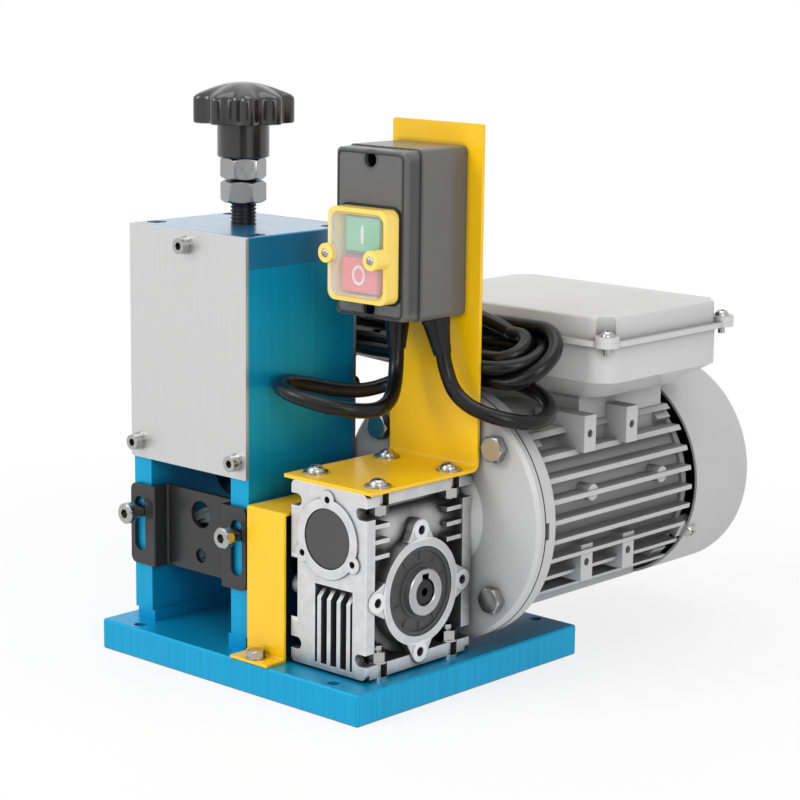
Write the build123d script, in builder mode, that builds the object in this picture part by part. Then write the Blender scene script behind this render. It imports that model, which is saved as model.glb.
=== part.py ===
"""Bench wire stripping machine: a screw-adjusted cutter over a driven feed roller, a worm gearbox,
a flange-mounted single-phase motor and a switch on a bent plate, all on one base plate.

Millimetres. X runs to the right along the front edge, Y runs back towards the motor, Z is up.
The origin is the centre of the base plate's underside.
"""
import os
from math import atan, cos, degrees, pi, radians, sin, tan

from build123d import *

os.makedirs("parts", exist_ok=True)

# Fits
run_fit = 0.05
slide_fit = 0.1
seat_gap = 0.3

# Base plate
base_w = 195.0
base_d = 176.0
base_t = 17.0
base_edge = 1.0
mount_hole_d = 6.6
mount_edge = 7.0
mount_side = 23.5

# Shared axes: the drive line runs along X, the motor line along Y
drive_y = -32.0
foot_washer_t = 1.5
axis_h = 40.0
centre_distance = 30.0
drive_z = base_t + foot_washer_t + axis_h
worm_z = drive_z + centre_distance
worm_x = 61.0

# Cutter head frame
head_w = 90.0
head_d = 79.0
head_x = -43.0
plate_t = 13.5
plate_h = 203.0
toe_h = 6.0
toe_shift = 2.0
top_t = 17.0
cover_t = 2.0
cover_z = 109.0
cover_screw_up = 9.0
rear_screw_up = 40.0
cover_screw_down = 8.0
groove_w = 8.0
groove_deep = 3.0
head_front = drive_y - head_d / 2
head_back = drive_y + head_d / 2
head_left = head_x - head_w / 2
head_right = head_x + head_w / 2
inner_w = head_w - 2 * plate_t
plate_top = base_t + plate_h
head_top = plate_top + top_t

# Fasteners by size: socket screws M6 for the frame and M5 for the covers, pan heads M6 and M4
m6_d = 6.0
m6_head_d = 10.0
m6_head_h = 6.0
m6_len = 28.0
m5_d = 5.0
m5_head_d = 8.5
m5_head_h = 5.0
m5_len = 12.0
m4_d = 4.0
m4_head_d = 8.0
m4_head_h = 3.0
m4_len = 10.0
washer_t = 1.0
cross_len = 0.56
cross_w = 0.13
cross_deep = 0.55
frame_screw_y = 28.0

# Drive shaft, feed roller, keys and bearings
shaft_d = 14.0
shaft_gap = 1.0
roller_d = 36.0
roller_w = 26.0
roller_teeth = 30
roller_tooth_h = 1.0
key_w = 5.0
key_h = 5.0
roller_key_len = 20.0
output_key_len = 40.0
head_bearing_od = 32.0
head_bearing_w = 10.0
shaft_end_x = 91.5

# Cutter and its press block
cutter_d = 44.0
cutter_t = 5.0
cutter_bevel = 7.0
cutter_gap = 10.0
axle_d = 10.0
axle_head_flats = 14.0
axle_head_h = 6.0
cheek_t = 9.0
cheek_w = 30.0
press_d = 56.0
press_h = 34.0
cutter_z = drive_z + roller_d / 2 + cutter_gap + cutter_d / 2
press_bottom = cutter_z + cutter_d / 2 + 3.0
press_top = press_bottom + press_h

# Adjusting screw, held in a T-slot of the press block
screw_d = 14.0
collar_d = 24.0
collar_h = 6.0
slot_roof = 8.0
nut_flats = 21.5
nut_h = 11.5
nut_above = 12.0
nut_space = 1.0
knob_boss_d = 28.0
knob_boss_h = 17.0
knob_d = 53.4
knob_h = 15.0
knob_dome = 5.5
knob_lobes = 8
lobe_cut_r = 6.5
lobe_cut_out = 1.8
lobe_round = 3.0
knob_hole_deep = 20.0
nut_z = head_top + nut_above
upper_nut_z = nut_z + nut_h + nut_space
knob_z = upper_nut_z + nut_h
star_z = knob_z + knob_boss_h

# Wire guide bracket, free to slide on two shouldered screws
guide_t = 2.5
guide_w = 91.0
guide_h = 45.0
guide_z = 49.0
guide_recess = 10.0
guide_middle_w = 58.0
guide_slot_w = 8.4
guide_slot_h = 30.5
guide_slot_z = 56.5
guide_bore_d = 15.0
guide_bore_z = 81.5
guide_small_d = 8.0
guide_small_z = 58.5
pin_d = 8.0
pin_z = 79.0
pin_len = 9.0
pin_head_d = 11.5
pin_head_h = 5.0
pin_thread = 10.0

# Worm gearbox with a hollow output shaft
box_w = 53.2
box_l = 80.0
box_h = 97.0
box_plate = 6.5
box_web = 30.0
foot_t = 7.0
foot_x = 22.0
foot_y = 27.0
foot_slot = 6.6
face_w = 56.0
hub_len = 63.0
hub_d = 25.0
hub_flange_d = 32.0
hub_shoulder_d = 29.0
wall_back = 9.0
ring_deep = 12.0
rib_t = 2.2
rib_reach = 18.0
rib_pitch = 8.0
rib_low = 22.0
ring_d = 57.0
chamber_wall_d = 67.4
lug_pcd = 65.0
lug_r = 5.5
lug_bore_d = 5.0
lug_deep = 7.0
chamber_d = 48.6
barrel_d = 42.0
output_bearing_od = 42.0
output_bearing_w = 9.0
seal_od = 47.6
seal_w = 5.0
cover_flange_t = 6.0
cover_spigot_d = 53.0
cover_spigot = 11.0
cap_d = 32.0
cap_t = 4.0
cap_ring_d = 42.0
cap_lug_pcd = 41.0
cap_lug_r = 4.6
cap_proud = 1.2
seal_ribs = 10
front_fin_t = 2.6
front_fin_pitch = 6.9
front_fins = 4
front_recess = 6.0
recess_edge = 3.0
recess_side = 4.0
notch_deep = 7.5
notch_h = 6.5

# Worm pair: one start, thirty teeth
teeth = 30
module = 1.44
backlash = 0.6
worm_len = 32.0
wheel_w = 14.0
pressure = 20.0
worm_front_d = 10.0
worm_front_od = 26.0
worm_play = 0.7
worm_front_w = 8.0
worm_rear_d = 20.0
worm_rear_od = 37.0
worm_rear_w = 9.0
lead = pi * module
wheel_r = teeth * module / 2
worm_r = centre_distance - wheel_r

# Gearbox studs, their nuts and washers
stud_flats = 10.0
stud_nut_h = 5.0
stud_sunk = 10.0
stud_washer_d = 12.0
stud_over = 3.0

# Motor, frame size 63 with a 140 flange
flange_d = 140.0
flange_pcd = 115.0
flange_bolt_d = 8.0
flange_bolt_flats = 13.0
flange_bolt_h = 5.3
flange_step = 3.5
flange_t = 5.5
flange_hub_d = 52.0
register = 3.0
spigot_d = 95.0
spigot_h = 2.5
shield_rim = 10.0
shield_t = 14.0
frame_len = 126.0
frame_bore = 96.0
frame_wall = 5.0
frame_fin_h = 9.0
frame_fin_d = frame_bore + 2 * frame_wall + 2 * frame_fin_h
frame_fin_t = 2.6
frame_fin_pitch = 10.9
frame_fins = 9
under_fins = 5
frame_band = 4.0
lead_hole_d = 12.0
air_gap = 5.0
cowl_len = 58.5
cowl_wall = 1.6
cowl_round = 9.0
motor_shaft_d = 11.0
journal_d = 12.0
motor_bearing_od = 32.0
motor_bearing_w = 10.0
rear_shield_t = 14.0
stator_bore = 52.0
stack_len = 66.0
coil_head = 12.0
rotor_gap = 0.4
boss_w = 10.0
boss_h = 20.0
boss_out = 57.0
boss_levels = (-28.0, 42.6)
boss_start = 38.0
boss_pitch = 36.8
boss_hole_d = 4.2
fin_boss_d = 9.0
fin_boss_out = 60.0
fin_boss_y = (69.0, 131.0)
tie_block_w = 11.0
tie_block_t = 8.0
tie_block_len = 12.0
fan_gap = 2.4
fan_d = frame_fin_d - 2 * cowl_wall - 2 * fan_gap
fan_w = 18.0
fan_disc_t = 2.0
fan_blades = 8
cowl_angles = (63, 153, 243, 333)
cowl_lug_w = 9.0
cowl_lug_root = 1.9
shield_lip = 2.0
cowl_lug_in = 8.0
grille_r = 32.0
grille_len = 28.0
grille_w = 4.0
grille_slots = 16

# Motor's terminal and capacitor box
tbox_w = 144.0
tbox_d = 106.0
tbox_wall = 2.5
tbox_top = 195.0
tbox_y = 115.0
tbox_round = 13.0
tray_knee_z = 160.0
seam_z = 183.0
gland_y = 106.0
gland_z = 164.0
gland_flats = 19.0
lid_h = tbox_top - seam_z
lid_draft = 3.0
lid_edge = 1.5
lead_hole_x = 20.0
lip_t = 3.0
lip_out = 4.0
ear_r = 6.5
tbox_foot_w = 108.0
tbox_foot_d = 80.0
pad_w = 84.0
gland_d = 16.0
gland_len = 18.0

# Switch on its bent plate
bracket_t = 2.0
bracket_w = 62.0
bracket_x = 60.0
bracket_top = 296.5
bracket_bend = 3.0
bracket_head_d = 9.6
bracket_head_h = 3.2
bracket_washer_d = 13.5
switch_w = 50.0
switch_h = 88.0
switch_d = 46.0
switch_x = 56.0
switch_z = 241.0
switch_wall = 2.5
switch_draft = 2.0
switch_cover_d = 11.0
cover_step = 0.6
switch_round = 3.0
face_screw_in = 6.0
mains_x = 45.5
lead_x = 72.0
relief_y = -5.0
bezel_x = 56.5
bezel_round = 5.0
left_lug_len = 4.0
right_lug_len = 10.0
bezel_w = 41.0
bezel_h = 48.0
bezel_d = 10.0
bezel_z = 231.0
bezel_wall = 3.5
window_t = 1.2
window_rise = 3.0
window_edge = 0.8
notch_gap = 0.3
window_seat = 1.0
start_front = 6.0
stop_front = 8.6
button_rim = 0.8
bezel_lug_d = 10.0
lug_screw_d = 2.5
lug_head_d = 4.6
lug_head_h = 1.4
bezel_lug_inset = 2.0
button_w = 23.5
button_h = 17.5
button_travel = 3.0
button_pitch = 20.5

# Coupling guard
guard_t = 1.5
guard_w = 27.5
guard_x = 18.8
guard_face_y = -75.5
guard_foot_y = -88.0
guard_back_y = -2.0
guard_top_z = 97.0
guard_bolt_y = -82.2

# Cords
cord_d = 8.0
relief_len = 20.0
relief_d = 14.0
relief_tip_d = 9.6
collar_rise = 4.0
corner_share = 0.45
coil_x = 28.0
coil_y = 33.2
coil_z = 175.3
coil_tilt = 28.0
coil_straight = 138.0
coil_bend = 15.4
bundle_d = 18.6
plug_w = 27.0
plug_h = 22.0
plug_len = 24.0
plug_neck_w = 18.0
plug_neck_h = 16.0
plug_neck_len = 8.0
blade_w = 1.6
blade_h = 6.4
blade_len = 17.0
blade_pitch = 12.7
earth_pin_d = 4.8
plug_up = bundle_d / 2 + seat_gap + plug_h / 2
plug_side = 4.5
plug_tip_x = -22.0


def save(part, name):
    """Label a finished piece and write its STEP file."""
    part.label = name
    export_step(part, f"parts/{name}.step")


def group(piece, places):
    """Copies of one piece at the given locations, as separate solids of one part."""
    with BuildPart() as copies:
        with Locations(*places):
            add(piece)
    return copies.part


def bearing(outer, inner, width):
    """Ball bearing from z = 0 up, its shields sunk between the two races."""
    race = (outer - inner) / 2 * 0.25
    with BuildPart() as built:
        with BuildSketch():
            Circle(outer / 2 - run_fit)
            Circle(inner / 2 + run_fit, mode=Mode.SUBTRACT)
        extrude(amount=width)
        for face_z, inward in ((0, 1), (width, -1)):
            with BuildSketch(Plane.XY.offset(face_z)):
                Circle(outer / 2 - race)
                Circle(inner / 2 + race, mode=Mode.SUBTRACT)
            extrude(amount=inward * width * 0.1, mode=Mode.SUBTRACT)
    return built.part


def socket_screw(d, head_d, head_h, length, washer_d=0.0):
    """Cylinder-head screw: the head stands on z = 0, or on its washer, and the shank points down."""
    rise = washer_t if washer_d else 0.0
    with BuildPart() as built:
        with BuildSketch():
            Circle(max(washer_d, head_d) / 2)
        extrude(amount=rise if washer_d else head_h)
        with BuildSketch(Plane.XY.offset(rise)):
            Circle(head_d / 2)
        extrude(amount=head_h)
        with BuildSketch(Plane.XY.offset(rise + head_h)):
            RegularPolygon(d * 0.45, 6)
        extrude(amount=-head_h * 0.6, mode=Mode.SUBTRACT)
        with BuildSketch():
            Circle(d / 2 - run_fit)
        extrude(amount=-length)
    return built.part


def pan_screw(d, head_d, head_h, length, washer_d=0.0):
    """Domed cross-head screw over an optional washer, the shank pointing down from z = 0."""
    rise = washer_t if washer_d else 0.0
    with BuildPart() as built:
        if washer_d:
            with BuildSketch():
                Circle(washer_d / 2)
            extrude(amount=rise)
        with BuildSketch(Plane.XZ):
            with BuildLine():
                ThreePointArc((0, rise + head_h), (head_d * 0.36, rise + head_h * 0.7), (head_d / 2, rise))
                Polyline((head_d / 2, rise), (0, rise), (0, rise + head_h))
            make_face()
        revolve(axis=Axis.Z)
        with BuildSketch(Plane.XY.offset(rise + head_h)):
            for turn in (45, 135):
                Rectangle(head_d * cross_len, head_d * cross_w, rotation=turn)
        extrude(amount=-head_h * cross_deep, mode=Mode.SUBTRACT)
        with BuildSketch():
            Circle(d / 2 - run_fit)
        extrude(amount=-length)
    return built.part


def hex_prism(flats, height, bore=0.0):
    """Hexagon from z = 0 up, its top corners taken off by a cone, with an optional bore."""
    corner = flats / 2 / cos(pi / 6)
    with BuildPart() as built:
        with BuildSketch():
            RegularPolygon(corner, 6)
        extrude(amount=height)
        with BuildSketch(Plane.XZ):
            with BuildLine():
                Polyline(
                    (0, 0),
                    (corner * 1.01, 0),
                    (corner * 1.01, height - flats * 0.08),
                    (flats / 2 * 0.96, height),
                    (0, height),
                    close=True,
                )
            make_face()
        revolve(axis=Axis.Z, mode=Mode.INTERSECT)
        if bore:
            with BuildSketch():
                Circle(bore / 2)
            extrude(amount=height, mode=Mode.SUBTRACT)
    return built.part


# Base plate: its own mounting holes, and the threads for what stands on it
mount_x = base_w / 2 - mount_side
mount_y = base_d / 2 - mount_edge
plate_x = (head_left + plate_t / 2, head_right - plate_t / 2)
frame_spots = [(x, drive_y + j * frame_screw_y) for x in plate_x for j in (-1, 1)]
stud_spots = [(worm_x + i * foot_x, drive_y + j * foot_y) for i in (-1, 1) for j in (-1, 1)]

with BuildPart() as base_plate:
    with BuildSketch(Plane.XY):
        Rectangle(base_w, base_d)
    extrude(amount=base_t)
    chamfer(base_plate.edges(), base_edge)
    with BuildSketch(Plane.XY):
        with GridLocations(2 * mount_x, 2 * mount_y, 2, 2):
            Circle(mount_hole_d / 2)
        with Locations(*frame_spots):
            Circle(m6_d / 2)
    extrude(amount=base_t, mode=Mode.SUBTRACT)
    with BuildSketch(Plane.XY):
        with Locations(*frame_spots):
            Circle(m6_head_d / 2 + seat_gap)
    extrude(amount=m6_head_h + seat_gap, mode=Mode.SUBTRACT)
    with BuildSketch(Plane.XY.offset(base_t)):
        with Locations(*stud_spots):
            Circle(m6_d / 2)
        with Locations((guard_x, guard_bolt_y)):
            Circle(m5_d / 2)
    extrude(amount=-(stud_sunk + seat_gap), mode=Mode.SUBTRACT)
save(base_plate.part, "base_plate")


def side_plate(side):
    """One upright of the head: side is -1 for the left plate and 1 for the right."""
    outer = head_x + side * head_w / 2
    inner = outer - side * plate_t
    middle = (outer + inner) / 2
    own_spots = [(x, y) for x, y in frame_spots if (x - head_x) * side > 0]
    with BuildPart() as plate:
        with BuildSketch(Plane.XZ.offset(-head_front)):
            with BuildLine():
                Polyline(
                    (outer - side * toe_shift, base_t),
                    (outer - side * toe_shift, base_t + toe_h),
                    (outer, base_t + toe_h),
                    (outer, plate_top),
                    (inner, plate_top),
                    (inner, base_t + toe_h),
                    (inner - side * toe_shift, base_t + toe_h),
                    (inner - side * toe_shift, base_t),
                    close=True,
                )
            make_face()
        extrude(amount=-head_d)
        with BuildSketch(Plane.YZ.offset(inner)):
            with Locations((drive_y, (cover_z + plate_top) / 2)):
                Rectangle(groove_w + 2 * slide_fit, plate_top - cover_z)
        extrude(amount=side * groove_deep, mode=Mode.SUBTRACT)
        with BuildSketch(Plane.YZ.offset(inner)):
            with Locations((drive_y, drive_z)):
                Circle(head_bearing_od / 2)
        extrude(amount=side * (head_bearing_w + slide_fit), mode=Mode.SUBTRACT)
        if side > 0:
            with BuildSketch(Plane.YZ.offset(inner)):
                with Locations((drive_y, drive_z)):
                    Circle(shaft_d / 2 + shaft_gap)
            extrude(amount=plate_t, mode=Mode.SUBTRACT)
        for end_z, up in ((base_t, 1), (plate_top, -1)):
            with BuildSketch(Plane.XY.offset(end_z)):
                with Locations(*own_spots):
                    Circle(m6_d / 2)
            extrude(amount=up * (m6_len - base_t + m6_head_h + 2 * seat_gap), mode=Mode.SUBTRACT)
        with BuildSketch(Plane.XZ.offset(-head_front)):
            with Locations((middle, cover_z + cover_screw_up), (middle, pin_z)):
                Circle(m5_d / 2)
        extrude(amount=-m5_len, mode=Mode.SUBTRACT)
        with BuildSketch(Plane.XZ.offset(-head_back)):
            with Locations((middle, cover_z + rear_screw_up)):
                Circle(m5_d / 2)
        extrude(amount=m5_len, mode=Mode.SUBTRACT)
    return plate.part


save(side_plate(-1), "left_side_plate")
save(side_plate(1), "right_side_plate")

# Top block, threaded for the adjusting screw
with BuildPart() as top_block:
    with BuildSketch(Plane.XY.offset(plate_top)):
        with Locations((head_x, drive_y)):
            Rectangle(head_w, head_d)
    extrude(amount=top_t)
    chamfer(top_block.edges().group_by(Axis.Z)[-1], 0.6)
    with BuildSketch(Plane.XY.offset(plate_top)):
        with Locations((head_x, drive_y)):
            Circle(screw_d / 2 + run_fit)
        with Locations(*frame_spots):
            Circle(m6_d / 2)
    extrude(amount=top_t, mode=Mode.SUBTRACT)
    with BuildSketch(Plane.XY.offset(head_top)):
        with Locations(*frame_spots):
            Circle(m6_head_d / 2 + seat_gap)
    extrude(amount=-(m6_head_h + seat_gap), mode=Mode.SUBTRACT)
    with BuildSketch(Plane.XZ.offset(-head_front)):
        with Locations((head_x, head_top - cover_screw_down)):
            Circle(m5_d / 2)
    extrude(amount=-m5_len, mode=Mode.SUBTRACT)
    with BuildSketch(Plane.XZ.offset(-head_back)):
        with Locations((head_x, head_top - cover_screw_down)):
            Circle(m5_d / 2)
    extrude(amount=m5_len, mode=Mode.SUBTRACT)
save(top_block.part, "top_block")

frame_screw = socket_screw(m6_d, m6_head_d, m6_head_h, m6_len)
frame_places = []
for x, y in frame_spots:
    frame_places.append(Location((x, y, head_top - m6_head_h - seat_gap)))
    frame_places.append(Location((x, y, m6_head_h + seat_gap), (180, 0, 0)))
save(group(frame_screw, frame_places), "frame_screws")

# Front and rear covers of the head, each on three screws, the rear ones clear of the motor flange


def cover_spots(screw_up):
    """Places of a cover's screws in X and Z: two low ones at screw_up, one high in the middle."""
    low = [(x, cover_z + screw_up) for x in plate_x]
    return low + [(head_x, head_top - cover_screw_down)]


def head_cover(face_y, out, screw_up):
    """Flat cover on the head's front (out = -1) or back (out = 1)."""
    with BuildPart() as cover:
        with BuildSketch(Plane.XZ.offset(-face_y)):
            with Locations((head_x, (cover_z + head_top) / 2)):
                RectangleRounded(head_w, head_top - cover_z, 1.0)
            with Locations(*cover_spots(screw_up)):
                Circle(m5_d / 2, mode=Mode.SUBTRACT)
        extrude(amount=-out * cover_t)
    return cover.part


save(head_cover(head_front, -1, cover_screw_up), "front_cover")
save(head_cover(head_back, 1, rear_screw_up), "rear_cover")
cover_screw = socket_screw(m5_d, m5_head_d, m5_head_h, m5_len, washer_d=m6_head_d)
cover_places = []
for x, z in cover_spots(cover_screw_up):
    cover_places.append(Location((x, head_front - cover_t, z), (90, 0, 0)))
for x, z in cover_spots(rear_screw_up):
    cover_places.append(Location((x, head_back + cover_t, z), (-90, 0, 0)))
save(group(cover_screw, cover_places), "cover_screws")

# Wire guide: a hat-shaped strip with two slots in its flanges and two wire holes in its middle
guide_left = head_x - guide_w / 2
guide_right = head_x + guide_w / 2
guide_face = head_front - guide_t - slide_fit
middle_left = head_x - guide_middle_w / 2
middle_right = head_x + guide_middle_w / 2
with BuildPart() as guide_bracket:
    with BuildSketch(Plane.XY.offset(guide_z)):
        with BuildLine():
            Polyline(
                (guide_left, guide_face),
                (middle_left + guide_t, guide_face),
                (middle_left + guide_t, guide_face + guide_recess),
                (middle_right - guide_t, guide_face + guide_recess),
                (middle_right - guide_t, guide_face),
                (guide_right, guide_face),
                (guide_right, guide_face + guide_t),
                (middle_right, guide_face + guide_t),
                (middle_right, guide_face + guide_recess + guide_t),
                (middle_left, guide_face + guide_recess + guide_t),
                (middle_left, guide_face + guide_t),
                (guide_left, guide_face + guide_t),
                close=True,
            )
        make_face()
    extrude(amount=guide_h)
    fillet(guide_bracket.edges().filter_by(Axis.Y).group_by(Axis.X)[0], 4.0)
    fillet(guide_bracket.edges().filter_by(Axis.Y).group_by(Axis.X)[-1], 4.0)
    fillet(guide_bracket.edges().filter_by(Axis.Z).filter_by_position(Axis.X, guide_left + 5, guide_right - 5), 1.0)
    with BuildSketch(Plane.XZ.offset(-guide_face + 1)):
        with Locations(*[(x, guide_slot_z + guide_slot_h / 2) for x in plate_x]):
            SlotOverall(guide_slot_h, guide_slot_w, rotation=90)
        with Locations((head_x, guide_bore_z)):
            Circle(guide_bore_d / 2)
        with Locations((head_x, guide_small_z)):
            Circle(guide_small_d / 2)
    extrude(amount=-(guide_recess + guide_t + 2), mode=Mode.SUBTRACT)
save(guide_bracket.part, "guide_bracket")

with BuildPart() as guide_screw:
    with BuildSketch():
        Circle(pin_d / 2)
    extrude(amount=pin_len)
    with BuildSketch(Plane.XY.offset(pin_len)):
        Circle(pin_head_d / 2)
    extrude(amount=pin_head_h)
    chamfer(guide_screw.edges().group_by(Axis.Z)[-1], 0.8)
    with BuildSketch(Plane.XY.offset(pin_len + pin_head_h)):
        RegularPolygon(m5_d * 0.55, 6)
    extrude(amount=-pin_head_h * 0.6, mode=Mode.SUBTRACT)
    with BuildSketch():
        Circle(m5_d / 2 - run_fit)
    extrude(amount=-pin_thread)
guide_places = [Location((x, head_front, pin_z), (90, 0, 0)) for x in plate_x]
save(group(guide_screw.part, guide_places), "guide_screws")

# Drive shaft from the left bearing to the gearbox's hollow shaft, with its two keys
shaft_start = head_left + plate_t - head_bearing_w
shaft_len = shaft_end_x - shaft_start
output_key_x = worm_x
key_seat = shaft_d / 2 - key_h / 2
with BuildPart() as drive_shaft:
    with BuildSketch(Plane.YZ.offset(shaft_start)):
        with Locations((drive_y, drive_z)):
            Circle(shaft_d / 2)
    extrude(amount=shaft_len)
    chamfer(drive_shaft.edges().group_by(Axis.X)[0], 0.8)
    chamfer(drive_shaft.edges().group_by(Axis.X)[-1], 0.8)
    with BuildSketch(Plane.YZ.offset(shaft_end_x)):
        with Locations((drive_y, drive_z)):
            Circle(2.2)
    extrude(amount=-6.0, mode=Mode.SUBTRACT)
    with BuildSketch(Plane.XY.offset(drive_z + key_seat)):
        with Locations((head_x, drive_y)):
            Rectangle(roller_key_len, key_w)
        with Locations((output_key_x, drive_y)):
            Rectangle(output_key_len, key_w)
    extrude(amount=key_h, mode=Mode.SUBTRACT)
save(drive_shaft.part, "drive_shaft")

with BuildPart() as shaft_keys:
    with BuildSketch(Plane.XY.offset(drive_z + key_seat)):
        with Locations((head_x, drive_y)):
            Rectangle(roller_key_len - slide_fit, key_w - slide_fit)
        with Locations((output_key_x, drive_y)):
            Rectangle(output_key_len - slide_fit, key_w - slide_fit)
    extrude(amount=key_h)
save(shaft_keys.part, "shaft_keys")


def bore_with_keyway(radius):
    """Bore outline about the sketch origin with a keyway above the shaft's key."""
    Circle(radius)
    with Locations((0, key_seat + key_h / 2 + run_fit)):
        Rectangle(key_w + slide_fit, key_h + slide_fit)


drive_plane = Plane.YZ.offset(worm_x).shift_origin((worm_x, drive_y, drive_z))
roller_plane = drive_plane.offset(head_x - roller_w / 2 - worm_x)
with BuildPart() as feed_roller:
    with BuildSketch(roller_plane):
        Circle(roller_d / 2 - roller_tooth_h)
        with PolarLocations(roller_d / 2 - roller_tooth_h, roller_teeth):
            RegularPolygon(roller_tooth_h, 3)
    extrude(amount=roller_w)
    with BuildSketch(roller_plane):
        bore_with_keyway(shaft_d / 2 + run_fit)
    extrude(amount=roller_w, mode=Mode.SUBTRACT)
save(feed_roller.part, "feed_roller")

head_bearing = bearing(head_bearing_od, shaft_d, head_bearing_w)
bearing_places = []
for side in (-1, 1):
    inner = head_x + side * inner_w / 2
    start = inner if side > 0 else inner - head_bearing_w
    bearing_places.append(Location((start, drive_y, drive_z), (0, 90, 0)))
save(group(head_bearing, bearing_places), "head_bearings")

# Cutter, its axle and the press block that carries it
cutter_plane = Plane.YZ.offset(head_x).shift_origin((head_x, drive_y, cutter_z))
with BuildPart() as cutter:
    with BuildSketch(Plane.XY):
        with BuildLine():
            Polyline(
                (axle_d / 2 + run_fit, -cutter_t / 2),
                (cutter_d / 2 - cutter_bevel, -cutter_t / 2),
                (cutter_d / 2, -0.15),
                (cutter_d / 2, 0.15),
                (cutter_d / 2 - cutter_bevel, cutter_t / 2),
                (axle_d / 2 + run_fit, cutter_t / 2),
                close=True,
            )
        make_face()
    revolve(axis=Axis.Y)
cutter_part = Location((head_x, drive_y, cutter_z), (0, 0, 90)) * cutter.part
save(cutter_part, "cutter")

axle_len = cutter_t + 2 * (cheek_t + slide_fit)
cheek_inner = cutter_t / 2 + slide_fit
with BuildPart() as cutter_axle:
    with BuildSketch(cutter_plane.offset(-cheek_inner - cheek_t)):
        Circle(axle_d / 2)
    extrude(amount=axle_len)
    with BuildSketch(cutter_plane.offset(cheek_inner + cheek_t)):
        RegularPolygon(axle_head_flats / 2 / cos(pi / 6), 6)
    extrude(amount=axle_head_h)
    with BuildSketch(cutter_plane.offset(-cheek_inner - cheek_t)):
        RegularPolygon(axle_head_flats / 2 / cos(pi / 6), 6)
    extrude(amount=-axle_head_h)
save(cutter_axle.part, "cutter_axle")

block_w = inner_w - 2 * slide_fit
collar_z = press_top - slot_roof - collar_h - slide_fit
with BuildPart() as press_block:
    with BuildSketch(Plane.XY.offset(press_bottom)):
        with Locations((head_x, drive_y)):
            Rectangle(block_w, press_d)
    extrude(amount=press_h)
    chamfer(press_block.edges().filter_by(Axis.Y), 1.0)
    with BuildSketch(Plane.XY.offset(press_top - press_h)):
        with Locations((head_x, drive_y)):
            Rectangle(block_w + 2 * (groove_deep - slide_fit), groove_w)
        with Locations((head_x, drive_y)):
            Rectangle(block_w - 2 * groove_deep, groove_w, mode=Mode.SUBTRACT)
    extrude(amount=press_h)
    for side in (-1, 1):
        with BuildSketch(cutter_plane.offset(side * cheek_inner)):
            with BuildLine():
                Polyline(
                    (-cheek_w / 2, press_bottom - cutter_z),
                    (-cheek_w / 2, 4),
                    (-axle_head_flats / 2, -axle_head_flats / 2),
                    (axle_head_flats / 2, -axle_head_flats / 2),
                    (cheek_w / 2, 4),
                    (cheek_w / 2, press_bottom - cutter_z),
                    close=True,
                )
            make_face()
            Circle(axle_d / 2 + run_fit, mode=Mode.SUBTRACT)
        extrude(amount=side * cheek_t)
    with BuildSketch(Plane.XY.offset(collar_z - slide_fit)):
        with Locations((head_x, drive_y)):
            Circle(collar_d / 2 + seat_gap)
        with Locations((head_x, drive_y - press_d / 4)):
            Rectangle(collar_d + 2 * seat_gap, press_d / 2)
    extrude(amount=collar_h + 2 * slide_fit, mode=Mode.SUBTRACT)
    with BuildSketch(Plane.XY.offset(collar_z)):
        with Locations((head_x, drive_y)):
            Circle(screw_d / 2 + seat_gap)
        with Locations((head_x, drive_y - press_d / 4)):
            Rectangle(screw_d + 2 * seat_gap, press_d / 2)
    extrude(amount=press_h, mode=Mode.SUBTRACT)
save(press_block.part, "press_block")

# Adjusting screw with its collar, two nuts and the star knob
with BuildPart() as adjusting_screw:
    with BuildSketch(Plane.XY.offset(collar_z)):
        with Locations((head_x, drive_y)):
            Circle(collar_d / 2)
    extrude(amount=collar_h)
    with BuildSketch(Plane.XY.offset(collar_z)):
        with Locations((head_x, drive_y)):
            Circle(screw_d / 2)
    extrude(amount=knob_z + knob_hole_deep - 1.0 - collar_z)
    chamfer(adjusting_screw.edges().group_by(Axis.Z)[-1], 1.0)
save(adjusting_screw.part, "adjusting_screw")

jam_nut = hex_prism(nut_flats, nut_h, screw_d + 2 * run_fit)
nut_places = [Location((head_x, drive_y, nut_z)), Location((head_x, drive_y, upper_nut_z), (0, 0, 20))]
save(group(jam_nut, nut_places), "screw_nuts")

with BuildPart() as knob:
    with BuildSketch(Plane.XY.offset(star_z)):
        Circle(knob_d / 2)
        with PolarLocations(knob_d / 2 + lobe_cut_out, knob_lobes):
            Circle(lobe_cut_r, mode=Mode.SUBTRACT)
    extrude(amount=knob_h + knob_dome)
    fillet(knob.edges().filter_by(Axis.Z), lobe_round)
    with BuildSketch(Plane.XZ):
        with BuildLine():
            arc = ThreePointArc(
                (0, star_z + knob_h + knob_dome),
                (knob_d / 4, star_z + knob_h + knob_dome * 0.72),
                (knob_d / 2, star_z + knob_h - 1.0),
            )
            Polyline(arc @ 1, (knob_d / 2, star_z), (0, star_z), arc @ 0)
        make_face()
    revolve(axis=Axis.Z, mode=Mode.INTERSECT)
    with BuildSketch(Plane.XY.offset(knob_z)):
        Circle(knob_boss_d / 2)
    extrude(amount=knob_boss_h + 1.0)
    with BuildSketch(Plane.XY.offset(knob_z)):
        Circle(screw_d / 2 + run_fit)
    extrude(amount=knob_hole_deep, mode=Mode.SUBTRACT)
knob_part = Location((head_x, drive_y, 0)) * knob.part
save(knob_part, "knob")

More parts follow.
